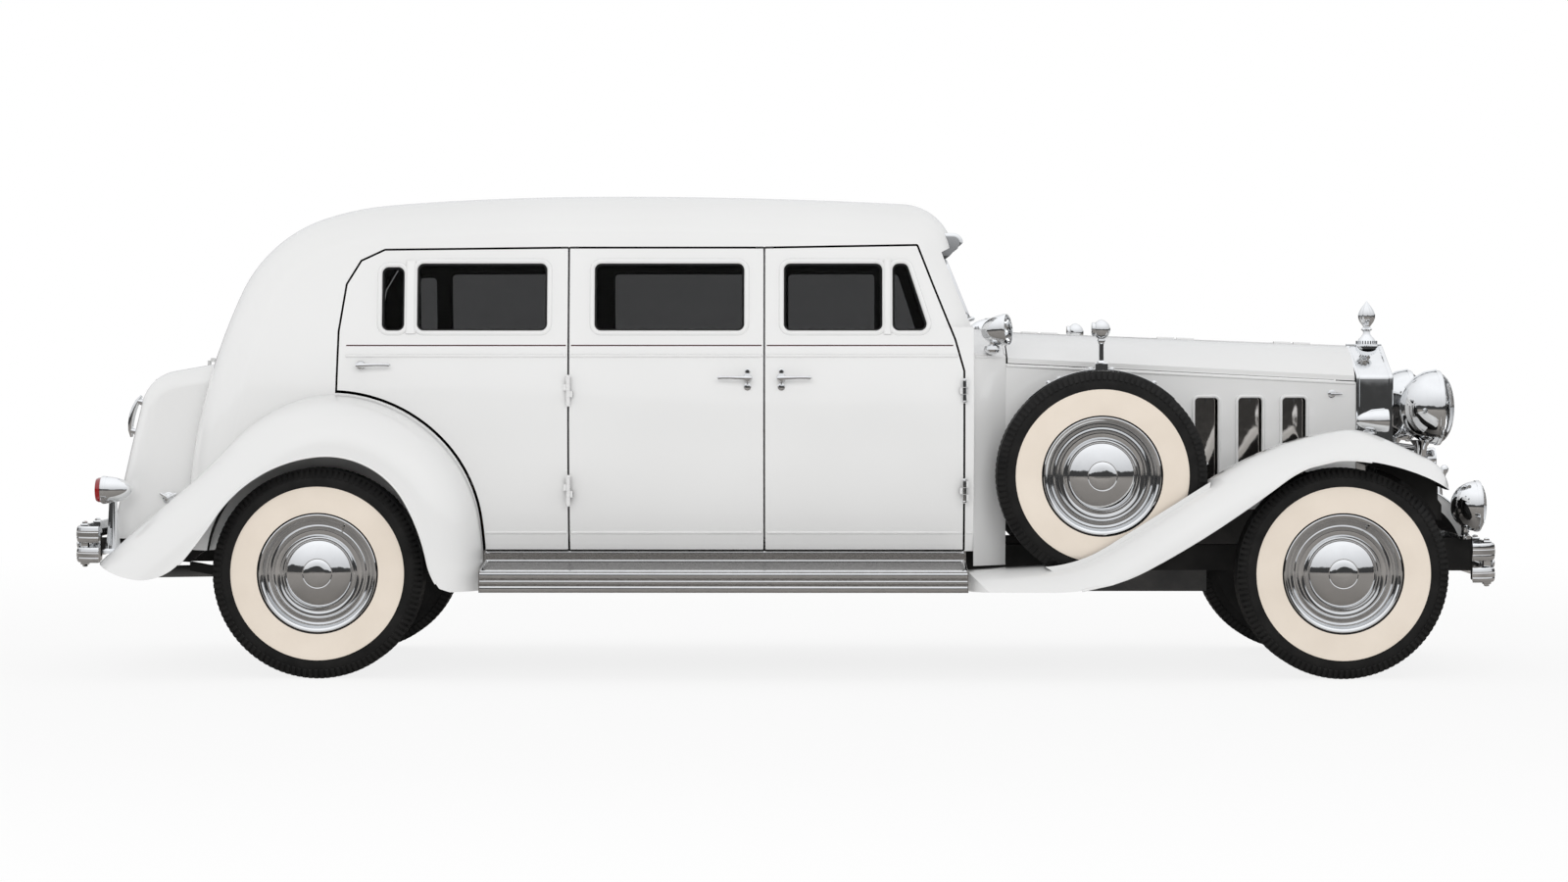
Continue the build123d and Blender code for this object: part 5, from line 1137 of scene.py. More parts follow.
def make_visor_trim():
    """Chrome nose along the visor, windscreen frame, wipers and their pivots."""
    piece = Piece("screen_trim", "car", "chrome")
    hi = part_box("visor")[1]
    skin = Skin("visor")
    half = hi.y - 0.020
    for z, wide in ((hi.z - 0.040, 0.016), (hi.z - 0.058, 0.010)):
        path = skin.trace([(1.2, -half + 2 * half * i / 32, z) for i in range(33)], (-1, 0, 0))
        piece.put(*strip(*path, half_round(wide, 0.004)), "chrome")
    top, bottom = Vector((0.612, 0, 1.655)), Vector((0.727, 0, 1.368))
    down = (bottom - top).normalized()
    out = Vector((0, 1, 0)).cross(down)
    out = out if out.x > 0 else -out
    length = (bottom - top).length
    frame_corners = [(-0.520, -0.038), (0.520, -0.038), (0.560, -(length - 0.026)),
                     (-0.560, -(length - 0.026))]
    outline = dense(soften(frame_corners, 0.030), 0.05)
    path = [top - down * v + Vector((0, u, 0)) + out * 0.001 for u, v in outline]
    piece.put(*strip(path, [out] * len(path), half_round(0.024, 0.012), True), "chrome")
    inner = [top - down * v + Vector((0, u, 0)) - out * 0.014 for u, v in outline]
    centre = sum(inner, Vector()) / len(inner)
    inner = [p + (centre - p).normalized() * 0.006 for p in inner]
    piece.put(*strip(inner, [out] * len(inner), half_round(0.012, 0.008), True), "seal")
    for y in (-0.26, 0.26):
        pivot = top + down * 0.056 + Vector((0, y, 0)) + out * 0.006
        piece.put(*lathe([(-0.010, 0.011), (0.010, 0.011), (0.014, 0.006), (0.014, 0.0)], pivot, out, 20),
                  "chrome")
        arm = [pivot + out * 0.010, pivot + down * 0.080 + out * 0.014 + Vector((0, 0.05, 0)),
               pivot + down * 0.170 + out * 0.004 + Vector((0, 0.10, 0))]
        piece.put(*tube(arm, [0.004, 0.0032, 0.0028], 8), "chrome")
        blade = [arm[-1] - Vector((0, 0.02, 0)) - down * 0.11 - out * 0.006,
                 arm[-1] + Vector((0, 0.025, 0)) + down * 0.06 - out * 0.006]
        piece.put(*tube(blade, 0.0045, 8), "seal")
    for side in SIDES.values():
        knob = bottom + Vector((0.004, side * 0.575, 0.026))
        piece.put(*lathe([(-0.02, 0.008), (0.006, 0.009), (0.012, 0.006), (0.013, 0.0)], knob, out, 16),
                  "chrome")
    piece.done()


SPARE_WHEEL = (1.230, 0.700, 0.784)     # middle of the left spare wheel
CLAMP_Z = 1.196
MIRROR_Z = 1.353


def make_mirror_heads():
    """Strap, clamp, stem and egg-shaped mirror head over each spare wheel."""
    piece = Piece("spare_mirrors_dressed", "car", "chrome")
    x, half, z = SPARE_WHEEL
    for side in SIDES.values():
        y = side * half
        steps, reach = 28, radians(43.5)
        path, normals = [], []
        for i in range(steps + 1):
            angle = -reach + 2 * reach * i / steps
            normal = Vector((sin(angle), 0, cos(angle)))
            path.append(Vector((x, y, z)) + normal * 0.4088)
            normals.append(normal)
        belt = [(0.020, 0.0), (0.020, 0.0045), (0.016, 0.006), (-0.016, 0.006), (-0.020, 0.0045),
                (-0.020, 0.0)]
        piece.put(*strip(path, normals, belt), "chrome")
        for angle in (-0.52, -0.10, 0.10, 0.52):
            normal = Vector((sin(angle), 0, cos(angle)))
            at = Vector((x, y, z)) + normal * 0.4135
            piece.put(*lathe([(-0.002, 0.0115), (0.006, 0.0105), (0.010, 0.006), (0.0105, 0.0)], at,
                             normal, 20), "chrome")
        clamp = rounded(-0.026, 0.026, -0.024, 0.024, 0.008)
        piece.put(*plate(clamp, (x, y, CLAMP_Z), (1, 0, 0), (0, 1, 0), 0.026, 0.003), "chrome")
        stem = [(0.020, 0.020), (0.030, 0.016), (0.036, 0.0105), (0.100, 0.0095), (0.104, 0.014),
                (0.112, 0.0155), (0.120, 0.013), (0.124, 0.0095)]
        piece.put(*lathe(stem, (x, y, CLAMP_Z), UP, 28), "chrome")
        head = [(-0.037, 0.010), (-0.033, 0.021), (-0.024, 0.029), (-0.010, 0.0345), (0.004, 0.0350),
                (0.018, 0.0300), (0.029, 0.0200), (0.036, 0.0090), (0.038, 0.0)]
        piece.put(*lathe(head, (x, y, MIRROR_Z), UP, 48), "chrome")
        rim = [(0.024, 0.026), (0.034, 0.0270), (0.037, 0.0250), (0.035, 0.0225), (0.035, 0.0)]
        piece.put(*lathe(rim, (x, y, MIRROR_Z), (-1, 0, 0), 40), "chrome")
    piece.done(["spare_mirrors"])


# ================================================================ front and rear
BUMPER_FACE = 2.773         # front of the bumper at the middle of the car
BUMPER_HALF = 0.780
BUMPER_BEND = 0.700         # where the ends start to wrap round
BUMPER_SWEEP = 0.012        # how far the face bows back by there
BUMPER_END_X = 2.662
BUMPER_BARS_Y = (0.395, 0.685)


def bumper_bow(y):
    """How far the face has bowed back at y."""
    return BUMPER_SWEEP * (y / BUMPER_BEND) ** 2


def bumper_path(inset, steps=40):
    """Plan of a bumper's face as (x, y) points, x measured ahead of the middle of the car."""
    bend = BUMPER_BEND
    bow = [(BUMPER_FACE - inset - bumper_bow(y), y)
           for y in [-bend + 2 * bend * i / steps for i in range(steps + 1)]]
    x0, y0 = bow[-1]
    x1, y1 = BUMPER_END_X, BUMPER_HALF - inset
    slope = atan2(1.0, -2 * BUMPER_SWEEP / bend)
    chord = atan2(y1 - y0, x1 - x0)
    turn = 2 * (chord - slope)
    radius = hypot(x1 - x0, y1 - y0) / (2 * sin(turn / 2))
    cx, cy = x0 - radius * sin(slope), y0 + radius * cos(slope)
    start = atan2(y0 - cy, x0 - cx)
    end = [(cx + radius * cos(start + turn * i / 12), cy + radius * sin(start + turn * i / 12))
           for i in range(1, 13)]
    return [(x, -y) for x, y in reversed(end)] + bow + end


def make_bumper(name, node, way, blades, bars):
    """Two crowned chrome blades that wrap round, with their bars and bolts."""
    piece = Piece(name, "car", "chrome")
    plan = bumper_path(0.008)
    for low, high in blades:
        tall = high - low
        section = [(u * tall / 2, h) for u, h in
                   [(-0.94, -0.008), (-1.0, -0.004), (-0.96, 0.001), (-0.80, 0.005), (-0.45, 0.0072),
                    (-0.30, 0.0060), (-0.22, 0.0078), (0.22, 0.0078), (0.30, 0.0060), (0.45, 0.0072),
                    (0.80, 0.005), (0.96, 0.001), (1.0, -0.004), (0.94, -0.008)]]
        path = [Vector((way * x, y, (low + high) / 2)) for x, y in plan]
        normals = []
        for i in range(len(path)):
            ahead, behind = path[min(i + 1, len(path) - 1)], path[max(i - 1, 0)]
            normals.append((ahead - behind).cross(UP).normalized() * way)
        piece.put(*strip(path, normals, section), "chrome")
    low, high = bars
    for y in BUMPER_BARS_Y:
        front = BUMPER_FACE - bumper_bow(y)
        for side in SIDES.values():
            at = (way * (front - 0.044), side * y, (low + high) / 2)
            tall = (high - low) / 2
            piece.put(*plate(rounded(-0.018, 0.018, -tall, tall, 0.006), at, (0, way, 0), UP,
                             0.029, 0.002), "chrome")
            middle = (blades[0][1] + blades[1][0]) / 2
            bolt = [(-0.02, 0.012), (0.002, 0.012), (0.004, 0.019), (0.010, 0.018), (0.014, 0.010),
                    (0.0145, 0.0)]
            piece.put(*lathe(bolt, (way * (front - 0.014), side * y, middle), (way, 0, 0), 28), "chrome")
            for z, up in ((high, 1), (low, -1)):
                nut = [(-0.002, 0.011), (0.006, 0.011), (0.009, 0.007), (0.0095, 0.0)]
                piece.put(*lathe(nut, (way * (front - 0.030), side * y, z), (0, 0, up), 6), "chrome")
    piece.done([node], sharp=24.0)


def make_front_details():
    """Rolled edges and side skirts of the apron, and the knobs on the fender tips."""
    piece = Piece("front_trim", "car", "chrome")
    apron = Skin("front_apron")
    lo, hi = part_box("front_apron")
    foot = [(hi.x - 0.003, y * (hi.y - 0.004), 0.534) for y in (-1, -0.5, 0, 0.5, 1)]
    piece.put(*tube(foot, 0.006, 12), "chrome")
    for side in SIDES.values():
        along = [lo.x + 0.004 + (hi.x - lo.x - 0.008) * i / 24 for i in range(25)]
        path = apron.trace([(x, side * (hi.y - 0.004), 1.0) for x in along], DOWN)[0]
        piece.put(*tube(path, 0.0055, 10), "chrome")
        skirt = [p + Vector((0, side * 0.002, 0)) for p in path]
        inner = [p + Vector((-0.030, 0, -0.042)) for p in skirt]
        inner = [Vector((max(p.x, lo.x + 0.002), p.y, max(p.z, 0.531))) for p in inner]
        piece.put(skirt + inner, grid(2, len(skirt)), "bead")
        tip = Skin("front_fenders").cast((2.556, side * 0.700, 1.2), DOWN)
        if tip:
            knob = [(-0.004, 0.014), (0.006, 0.014), (0.016, 0.017), (0.028, 0.015), (0.036, 0.008),
                    (0.038, 0.0)]
            piece.put(*lathe(knob, tip[0], (0.35, 0, 1), 24), "chrome")
    piece.done()


RADIATOR_HALF = 0.290
RADIATOR_FOOT = 0.560
RADIATOR_SHOULDER = 1.171
RADIATOR_PEAK = 1.296
RADIATOR_RISE = (RADIATOR_PEAK - RADIATOR_SHOULDER) / RADIATOR_HALF
CAP_Z = 1.288               # seat of the cap and its finial


def shell_outline(inset):
    """Gabled outline of the radiator as (y, z), anticlockwise."""
    half, slant = RADIATOR_HALF - inset, sqrt(1 + RADIATOR_RISE * RADIATOR_RISE)
    foot = RADIATOR_FOOT + inset
    shoulder = RADIATOR_SHOULDER - inset * (slant - RADIATOR_RISE)
    corners = [(half, foot), (half, shoulder), (0.0, RADIATOR_PEAK - inset * slant),
               (-half, shoulder), (-half, foot)]
    return soften(corners, 0.018)


def make_radiator_trim():
    """Beaded shell, upright slats, core, cap and a plain turned finial with a fluted bud."""
    piece = Piece("radiator_dressed", "car", "chrome")
    rear, front = 2.282, 2.430
    loops = [(rear, 0.0), (rear + 0.012, 0.0), (rear + 0.014, 0.0025), (front - 0.020, 0.0025),
             (front - 0.016, 0.0), (front - 0.004, 0.0), (front, 0.005), (front, 0.030),
             (front - 0.004, 0.036), (front - 0.030, 0.038), (rear + 0.062, 0.038)]
    points, size = [], 0
    for x, inset in loops:
        outline = shell_outline(inset)
        size = len(outline)
        points += [(x, y, z) for y, z in outline]
    piece.put(points, grid(len(loops), size, False, True), "chrome")
    core = [(rear + 0.061, y, z) for y, z in shell_outline(0.036)]
    piece.put(core, [tuple(range(len(core)))], "core")
    slats = 28
    for i in range(slats):
        y = -0.244 + 0.488 * (i + 0.5) / slats
        top = RADIATOR_PEAK - abs(y) * RADIATOR_RISE - 0.043
        face = [(-0.0022, 0.0), (-0.0030, 0.010), (-0.0012, 0.018), (0.0012, 0.018), (0.0030, 0.010),
                (0.0022, 0.0)]
        rows = []
        for z in (0.600, top):
            rows += [(rear + 0.110 + h, y + u, z) for u, h in face]
        piece.put(rows, grid(2, 6, False, True), "chrome")
    for z in (0.700, 0.900, 1.080):
        piece.put(*tube([(rear + 0.100, -0.250, z), (rear + 0.100, 0.250, z)], 0.004, 8), "nickel")
    ridge = [(rear, 0.0, 1.2965), (front - 0.004, 0.0, 1.2965)]
    piece.put(*tube(ridge, 0.004, 10), "chrome")
    cap_x = 2.366
    base = [(-0.010, 0.050), (0.002, 0.050), (0.006, 0.044), (0.012, 0.042), (0.020, 0.040),
            (0.026, 0.034), (0.034, 0.030), (0.042, 0.021), (0.052, 0.0150), (0.062, 0.0135),
            (0.066, 0.0190), (0.071, 0.0230), (0.076, 0.0190), (0.080, 0.0145), (0.084, 0.0140)]
    piece.put(*lathe(base, (cap_x, 0, CAP_Z), UP, 40), "chrome")
    for i in range(24):
        angle = 2 * pi * i / 24
        foot = Vector((cap_x + 0.041 * cos(angle), 0.041 * sin(angle), 1.298))
        piece.put(*tube([foot, foot + Vector((0, 0, 0.014))], 0.0026, 6), "chrome")
    bud = [(0.082, 0.0140), (0.090, 0.0200), (0.102, 0.0285), (0.116, 0.0340), (0.130, 0.0345),
           (0.144, 0.0300), (0.158, 0.0220), (0.170, 0.0130), (0.180, 0.0055), (0.186, 0.0012)]
    rows, count, flutes = [], 80, 10
    for h, radius in bud:
        for angle in ring(count):
            swell = radius * (1.0 - 0.09 * abs(sin(flutes * angle / 2 + 14.0 * (h - 0.082))) ** 3)
            rows.append((cap_x + swell * cos(angle), swell * sin(angle), CAP_Z + h))
    piece.put(rows, grid(len(bud), count, False, True), "chrome")
    piece.done(["radiator"])


ASTERN = -3.4               # rays that look for the trunk lid start here
FILLER_CAP = (-2.425, 0.690)
LIFT_HANDLES = ((-0.43, 1.005), (0.43, 1.005))      # (y, z) on the lid
PLATE_Z = 0.74
PLATE = (-0.230, 0.230, -0.058, 0.058, 0.010)       # extents and corner radius


def up_along(normal):
    """Direction that runs up a surface facing ahead or astern."""
    up = Vector((0, 1, 0)).cross(normal)
    return up if up.z > 0 else -up


def make_rear_details():
    """Trunk edge mouldings, two lift handles, number plate holder and fuel filler cap."""
    lid = Skin("trunk_lid")
    piece = Piece("trunk_lid_trim", "trunk_lid", "chrome")
    lo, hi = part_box("trunk_lid")
    span = 0.94 * hi.y
    for share in (0.86, 0.42):
        z = lo.z + (hi.z - lo.z) * share
        starts = [(ASTERN, -span + 2 * span * i / 20, z) for i in range(21)]
        piece.put(*strip(*lid.trace(starts, (1, 0, 0)), half_round(0.012, 0.005)), "bead")
    for y, z in LIFT_HANDLES:
        at, normal = lid.cast((ASTERN, y, z), (1, 0, 0))
        upright = up_along(normal)
        for way in (-1, 1):
            boss = at + upright * 0.060 * way
            piece.put(*lathe([(-0.003, 0.022), (0.004, 0.021), (0.010, 0.013), (0.030, 0.010)], boss,
                             normal, 24), "chrome")
        grip = [at + upright * v + normal * h for v, h in
                [(-0.084, 0.020), (-0.058, 0.031), (-0.03, 0.036), (0.0, 0.038), (0.03, 0.036),
                 (0.058, 0.031), (0.084, 0.020)]]
        piece.put(*tube(grip, [0.006, 0.010, 0.012, 0.0125, 0.012, 0.010, 0.006], 16), "chrome")
    at, normal = lid.cast((ASTERN, 0.0, PLATE_Z), (1, 0, 0))
    upright = up_along(normal)
    piece.put(*plate(rounded(*PLATE), at + normal * 0.010, (0, -1, 0), upright, 0.005, 0.001),
              "black")
    rim = [at + normal * 0.016 + Vector((0, -u, 0)) + upright * v for u, v in rounded(*PLATE)]
    piece.put(*tube(rim, 0.0035, 8, True), "chrome")
    for u in (-0.16, 0.16):
        stub = at + Vector((0, u, 0))
        piece.put(*tube([stub - normal * 0.004, stub + normal * 0.012], 0.007, 12), "black")
    piece.done()
    cap = Piece("filler_cap", "car", "chrome")
    skin = Skin("trunk", "rear_fenders")
    at, normal = skin.beside(*FILLER_CAP, SIDES["right"])
    dome = [(-0.004, 0.024), (0.006, 0.024), (0.009, 0.019), (0.014, 0.017), (0.018, 0.010),
            (0.020, 0.0)]
    cap.put(*lathe(dome, at, normal, 32), "chrome")
    for way in (-1, 1):
        wing = [at + normal * 0.016, at + normal * 0.020 + Vector((0.022 * way, 0, 0.014)),
                at + normal * 0.018 + Vector((0.032 * way, 0, 0.020))]
        cap.put(*tube(wing, [0.006, 0.007, 0.004], 10), "chrome")
    cap.done()


COLUMN_TILT = 28.0          # degrees that the steering column rises
WHEEL_RIM = 0.215           # radius of the steering wheel's rim


def make_cabin():
    """Steering wheel, instruments, knobs, gear lever and pedals."""
    lo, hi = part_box("steering_wheel")
    centre = (lo + hi) / 2
    tilt = radians(COLUMN_TILT)
    axis = Vector((-cos(tilt), 0, sin(tilt)))
    across = Vector((0, 1, 0))
    up = axis.cross(across).normalized()
    wheel = Piece("steering_wheel_dressed", "steering_wheel", "bakelite")
    rim = [centre + (across * cos(a) + up * sin(a)) * WHEEL_RIM for a in ring(96)]
    radii = [0.0125 + 0.0008 * (1 if i % 4 < 2 else -1) for i in range(96)]
    wheel.put(*tube(rim, radii, 16, True), "bakelite")
    for a in (pi / 4, 3 * pi / 4, 5 * pi / 4, 7 * pi / 4):
        way = across * cos(a) + up * sin(a)
        for swing in (-0.007, 0.007):
            off = axis.cross(way) * swing
            spoke = [centre + way * 0.024 + off * 0.6 + axis * 0.004, centre + way * 0.110 + off,
                     centre + way * 0.206 + off * 0.9]
            wheel.put(*tube(spoke, 0.0035, 10), "chrome")
    hub = [(-0.025, 0.024), (-0.020, 0.034), (0.010, 0.034), (0.018, 0.028), (0.022, 0.016),
           (0.0245, 0.0)]
    wheel.put(*lathe(hub, centre, axis, 48), "bakelite")
    wheel.done(["steering_wheel"])
    board = Skin("dashboard")
    piece = Piece("dashboard_trim", "car", "trim")
    for y, radius in ((0.42, 0.052), (0.29, 0.052), (0.16, 0.034), (0.06, 0.034), (-0.06, 0.034)):
        met = board.cast((0.3, y, 1.215), (1, 0, 0))
        if not met:
            continue
        at, normal = met
        piece.put(*lathe([(-0.004, radius), (0.008, radius), (0.010, radius * 0.92),
                          (0.005, radius * 0.86)], at, normal, 40), "chrome")
        piece.put(*lathe([(0.004, radius * 0.90), (0.004, 0.0)], at, normal, 40), "dial")
        piece.put(*lathe([(0.0045, 0.006), (0.009, 0.005), (0.010, 0.0)], at, normal, 16), "bakelite")
        for a in ring(12):
            other = normal.cross(across)
            tick = at + normal * 0.0048 + (across * cos(a) + other * sin(a)) * radius * 0.74
            piece.put(*tube([tick, tick + (across * cos(a) + other * sin(a)) * radius * 0.10], 0.0012, 4),
                      "bakelite")
        needle = across * 0.5 + normal.cross(across) * 0.7
        piece.put(*tube([at + normal * 0.007, at + normal * 0.007 + needle * radius * 0.7],
                        [0.0018, 0.0006], 6), "bakelite")
    for y in (-0.16, -0.22, -0.28, 0.52):
        met = board.cast((0.3, y, 1.175), (1, 0, 0))
        if met:
            piece.put(*lathe([(-0.004, 0.005), (0.014, 0.005), (0.016, 0.010), (0.024, 0.011),
                              (0.028, 0.0)], met[0], met[1], 20), "bakelite")
    glove = board.cast((0.3, -0.43, 1.215), (1, 0, 0))
    if glove:
        at, normal = glove
        down = normal.cross(across)
        lid = [at + normal * 0.001 + across * u + down * v
               for u, v in rounded(-0.12, 0.12, -0.045, 0.045, 0.012)]
        piece.put(*tube(lid, 0.0025, 8, True), "chrome")
    stalk = [(0.58, 0.02, 0.522), (0.595, 0.02, 0.62), (0.57, 0.022, 0.80), (0.53, 0.025, 0.94)]
    piece.put(*tube(stalk, [0.012, 0.009, 0.008, 0.008], 14), "chrome")
    knob = [(-0.024, 0.0), (-0.018, 0.016), (0.0, 0.022), (0.018, 0.016), (0.024, 0.0)]
    piece.put(*lathe(knob, stalk[-1], UP, 24), "bakelite")
    for y in (0.24, 0.33, 0.42):
        pedal = Vector((0.640, y, 0.600))
        piece.put(*tube([pedal, pedal + Vector((-0.035, 0, 0.060))], 0.007, 10), "black")
        piece.put(*plate(rounded(-0.030, 0.030, -0.038, 0.038, 0.008),
                         pedal + Vector((-0.035, 0, 0.065)), (0, -1, 0), (0.5, 0, 0.87), 0.010, 0.002),
                  "seal")
    piece.done()


def make_deck_trim():
    """Polished rails, rollers and bier pins on the casket deck."""
    lo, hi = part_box("casket_deck")
    deck = Skin("casket_deck")
    piece = Piece("casket_deck_trim", "car", "chrome")
    for y in (-0.30, 0.0, 0.30):
        path = deck.trace([(x, y, 1.1) for x in (lo.x + 0.04, hi.x - 0.04)], DOWN)[0]
        piece.put(*strip(path, [UP, UP], half_round(0.022, 0.006)), "chrome")
        for i in range(8):
            x = lo.x + 0.14 + (hi.x - lo.x - 0.28) * i / 7
            at = deck.cast((x, y + 0.085, 1.1), DOWN)[0]
            piece.put(*tube([at + Vector((0, -0.035, 0.004)), at + Vector((0, 0.035, 0.004))], 0.0095, 14),
                      "seal")
    edge = [(lo.x + 0.006, lo.y + 0.006), (hi.x - 0.006, lo.y + 0.006), (hi.x - 0.006, hi.y - 0.006),
            (lo.x + 0.006, hi.y - 0.006)]
    path = deck.trace([(x, y, 1.1) for x, y in dense(edge, 0.2)], DOWN)[0]
    piece.put(*strip(path, [UP] * len(path), half_round(0.014, 0.005), True), "chrome")
    for x in (lo.x + 0.30, hi.x - 0.30):
        for y in (-0.20, 0.20):
            at = deck.cast((x, y, 1.1), DOWN)[0]
            pin = [(-0.002, 0.030), (0.004, 0.029), (0.008, 0.012), (0.060, 0.010), (0.066, 0.015),
                   (0.078, 0.015), (0.082, 0.0)]
            piece.put(*lathe(pin, at, UP, 24), "chrome")
    piece.done()


# ================================================================ seats
CUSHION_CAP = 0.024         # furthest that the padding may move from the plain block
CUSHION_INSET = 0.010       # the padding starts this far inside the block and swells back
CLOTH_FRAMES = 20
CUSHION_X = 0.080           # the cushion lies ahead of this, the backrest behind it
CHANNEL_WIDTH = 0.109       # between the sewn channels, counted from the bench's end
CHANNEL_DEPTH = 0.011
BENCH_HALF = 0.545


def padded_bench():
    """Front bench as one padded form, puffed by cloth pressure, with sewn channels."""
    scene = bpy.context.scene
    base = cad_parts["seats"]
    mesh = base.data.copy()
    made = bpy.data.objects.new("seats_padded", mesh)
    scene.collection.objects.link(made)
    remesh = made.modifiers.new("even", "REMESH")
    remesh.mode = "VOXEL"
    remesh.voxel_size = 0.0115
    depsgraph = bpy.context.evaluated_depsgraph_get()
    even = bpy.data.meshes.new_from_object(made.evaluated_get(depsgraph))
    made.modifiers.clear()
    made.data = even
    inward = [v.normal.copy() for v in even.vertices]
    for vertex, normal in zip(even.vertices, inward):
        vertex.co -= normal * CUSHION_INSET
    start = [v.co.copy() for v in even.vertices]
    cloth = made.modifiers.new("puff", "CLOTH")
    cloth.settings.quality = 6
    cloth.settings.mass = 0.3
    cloth.settings.tension_stiffness = 12
    cloth.settings.compression_stiffness = 12
    cloth.settings.shear_stiffness = 6
    cloth.settings.bending_stiffness = 0.8
    cloth.settings.use_pressure = True
    cloth.settings.uniform_pressure_force = 4.0
    cloth.settings.effector_weights.gravity = 0.0
    cloth.collision_settings.use_collision = False
    cloth.collision_settings.use_self_collision = False
    cloth.point_cache.frame_start = 1
    cloth.point_cache.frame_end = CLOTH_FRAMES
    for step in range(1, CLOTH_FRAMES + 1):
        scene.frame_set(step)
    depsgraph = bpy.context.evaluated_depsgraph_get()
    puffed = bpy.data.meshes.new_from_object(made.evaluated_get(depsgraph))
    made.modifiers.clear()
    scene.frame_set(1)
    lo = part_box("seats")[0]
    for vertex, old in zip(puffed.vertices, start):
        move = vertex.co - old
        if move.length > CUSHION_CAP:
            move = move * (CUSHION_CAP / move.length)
        vertex.co = old + move
        ahead = vertex.co.x > CUSHION_X
        if vertex.co.z < lo.z + 0.010:
            vertex.co.z = max(vertex.co.z, lo.z)
        on_cushion = ahead and old.z > 0.840
        on_back = not ahead and old.z > 0.86 and vertex.co.x > -0.13
        if on_cushion or on_back:
            channel = abs(sin(pi * (vertex.co.y + BENCH_HALF) / CHANNEL_WIDTH))
            sink = CHANNEL_DEPTH * (1.0 - channel ** 0.45)
            vertex.co += Vector((0, 0, -sink)) if on_cushion else Vector((-sink, 0, 0))
    made.data = puffed
    puffed.materials.clear()
    puffed.materials.append(LOOKS["hide"])
    puffed.shade_smooth()
    rounder = made.modifiers.new("soft", "SUBSURF")
    rounder.levels = rounder.render_levels = 1
    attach(made, "car")
    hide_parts("seats")
    return made


# ================================================================ stage
CAMERA = (0.111, -14.82, 1.223)
CAMERA_AIM = (-0.002, -0.82, 0.921)
LENS = 83.33
AREAS = [
    # place, size, power in watts
    ((0.0, -10.0, 5.0), (14.0, 4.0), 420.0),
    ((0.0, 10.0, 5.0), (14.0, 4.0), 420.0),
    ((0.0, 0.0, 9.0), (12.0, 5.0), 90.0),
    ((11.0, 0.0, 4.0), (6.0, 4.0), 160.0),
    ((-11.0, 0.0, 4.0), (6.0, 4.0), 160.0),
]
SKY = 0.56
MIRRORED_SKY = (0.62, 1.15)  # strength of the sky in polished surfaces, low down and overhead
BACKDROP = 1.0
HORIZON_RADIUS = 20.8
HORIZON_HEIGHT = 6.0


def aim(made, at, target):
    """Put an object at a place and point its -Z axis at a target."""
    made.location = at
    made.rotation_euler = (Vector(target) - Vector(at)).to_track_quat("-Z", "Y").to_euler()
    bpy.context.scene.collection.objects.link(made)


def make_camera():
    """The view of the car's right side."""
    data = bpy.data.cameras.new("camera")
    data.lens = LENS
    data.clip_end = 100.0
    made = bpy.data.objects.new("camera", data)
    aim(made, CAMERA, CAMERA_AIM)
    bpy.context.scene.camera = made


def make_lights():
    """Soft lamps all round, a plain white sky, and a brighter one overhead in polished surfaces."""
    for i, (at, size, power) in enumerate(AREAS):
        data = bpy.data.lights.new(f"area_{i}", "AREA")
        data.shape = "RECTANGLE"
        data.size, data.size_y = size
        data.energy = power
        made = bpy.data.objects.new(f"area_{i}", data)
        made.visible_glossy = False
        aim(made, at, (0.0, 0.0, 0.8))
    world = bpy.data.worlds.new("sky")
    world.use_nodes = True
    tree = world.node_tree
    tree.nodes.clear()
    around = add(tree, "ShaderNodeBackground", {"Color": (1.0, 1.0, 1.0, 1.0), "Strength": SKY})
    behind = add(tree, "ShaderNodeBackground", {"Color": (1.0, 1.0, 1.0, 1.0), "Strength": BACKDROP})
    ray = add(tree, "ShaderNodeLightPath").outputs["Is Camera Ray"]
    upward = add(tree, "ShaderNodeTexCoord").outputs["Generated"]
    upward = add(tree, "ShaderNodeSeparateXYZ", {0: upward}).outputs["Z"]
    polished = add(tree, "ShaderNodeBackground",
                   {"Color": (0.97, 0.98, 1.0, 1.0),
                    "Strength": spread(tree, upward, *MIRRORED_SKY, 0.05, 0.9)})
    glossy = add(tree, "ShaderNodeLightPath").outputs["Is Glossy Ray"]
    mixed = mix(tree, ray, mix(tree, glossy, around, polished), behind)
    output = add(tree, "ShaderNodeOutputWorld")
    tree.links.new(mixed.outputs[0], output.inputs["Surface"])
    bpy.context.scene.world = world


def stage_floor():
    """White floor that shows only the car's soft shadow, and a warm grey ground in chrome."""
    made, tree, shader = look("floor_white")
    set_values(shader, Base_Color=(0.8, 0.8, 0.8, 1.0), Roughness=0.9, Specular_IOR_Level=0.0)
    glow = add(tree, "ShaderNodeEmission", {"Color": (1.0, 1.0, 1.0, 1.0), "Strength": 1.0})
    ground = add(tree, "ShaderNodeBsdfDiffuse", {"Color": (0.30, 0.282, 0.265, 1.0)})
    path = add(tree, "ShaderNodeLightPath")
    away = add(tree, "ShaderNodeVectorMath", {0: place(tree)}, operation="LENGTH").outputs["Value"]
    share = mix(tree, spread(tree, away, 0.84, 1.0, 4.0, 9.0), shader, glow)
    seen = mix(tree, path.outputs["Is Glossy Ray"], share, ground)
    tree.links.new(seen.outputs[0], tree.nodes["Material Output"].inputs["Surface"])
    mesh = bpy.data.meshes.new("floor")
    half = 60.0
    mesh.from_pydata([(-half, -half, 0), (half, -half, 0), (half, half, 0), (-half, half, 0)], [],
                     [(0, 1, 2, 3)])
    mesh.materials.append(made)
    floor = bpy.data.objects.new("floor", mesh)
    bpy.context.scene.collection.objects.link(floor)


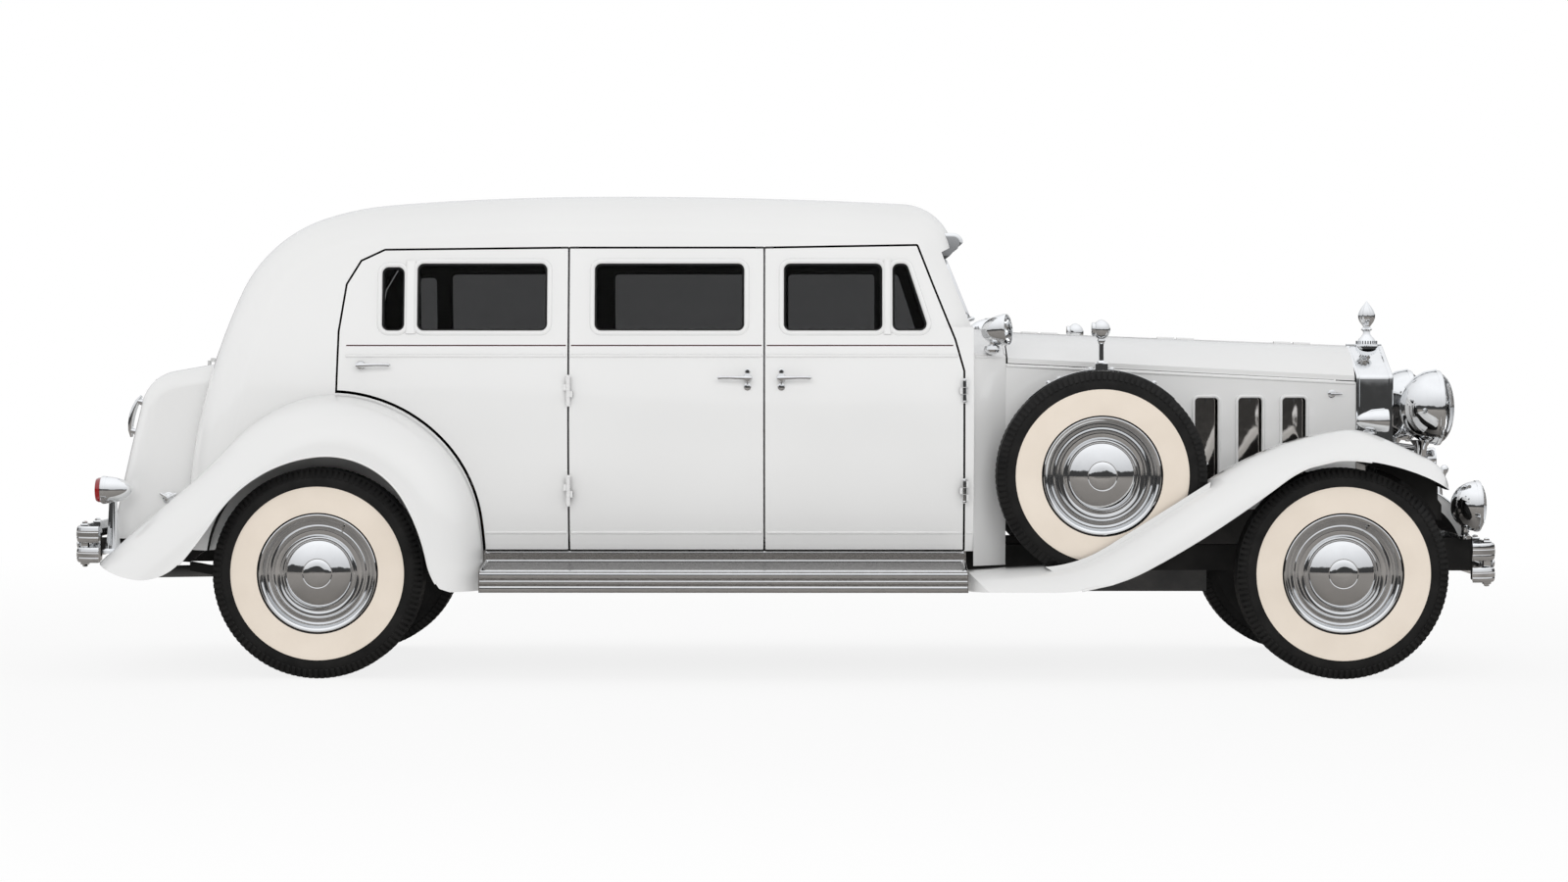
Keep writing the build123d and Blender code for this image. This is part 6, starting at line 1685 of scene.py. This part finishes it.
def stage_horizon():
    """Dark band of far trees, seen only in the chrome."""
    made, tree, shader = look("far_band")
    rise = add(tree, "ShaderNodeSeparateXYZ", {0: place(tree)}).outputs["Z"]
    edge = math(tree, "ADD", rise, math(tree, "MULTIPLY", noise(tree, 0.16, 4.0), 4.4))
    shown = spread(tree, edge, 1.0, 0.0, 5.2, 5.8)
    path = add(tree, "ShaderNodeLightPath").outputs["Is Glossy Ray"]
    shown = math(tree, "MULTIPLY", shown, path)
    dark = add(tree, "ShaderNodeEmission", {"Color": (0.05, 0.05, 0.05, 1.0), "Strength": 1.0})
    clear = add(tree, "ShaderNodeBsdfTransparent")
    mixed = mix(tree, shown, clear, dark)
    tree.links.new(mixed.outputs[0], tree.nodes["Material Output"].inputs["Surface"])
    tree.nodes.remove(shader)
    points, faces = lathe([(0.0, HORIZON_RADIUS), (HORIZON_HEIGHT, HORIZON_RADIUS)], (0, 0, 0),
                          UP, 96)
    mesh = bpy.data.meshes.new("far_band")
    mesh.from_pydata([tuple(p) for p in points], [], faces)
    mesh.materials.append(made)
    band = bpy.data.objects.new("far_band", mesh)
    bpy.context.scene.collection.objects.link(band)
    for ray in ("camera", "diffuse", "transmission", "volume_scatter", "shadow"):
        setattr(band, f"visible_{ray}", False)


def main():
    """Dress the car and set the stage."""
    bpy.context.scene.view_settings.view_transform = "Standard"
    dress_cad_nodes()
    trim_doors()
    make_handles()
    make_hinge_covers()
    body_lines()
    make_bonnet_trim()
    make_fender_beads()
    make_fender_liners()
    make_running_boards()
    make_visor_trim()
    make_mirror_heads()
    make_bumper("front_bumper_dressed", "front_bumper", 1, ((0.372, 0.430), (0.456, 0.524)),
                (0.362, 0.532))
    make_bumper("rear_bumper_dressed", "rear_bumper", -1, ((0.446, 0.505), (0.524, 0.588)),
                (0.436, 0.596))
    make_front_details()
    make_radiator_trim()
    make_rear_details()
    make_cabin()
    make_deck_trim()
    padded_bench()
    make_wheels()
    make_headlamps().done(["headlamps"])
    make_small_lamps().done(["small_lamps"])
    make_tail_lamps().done(["tail_lamps"])
    make_camera()
    make_lights()
    stage_floor()
    stage_horizon()


main()
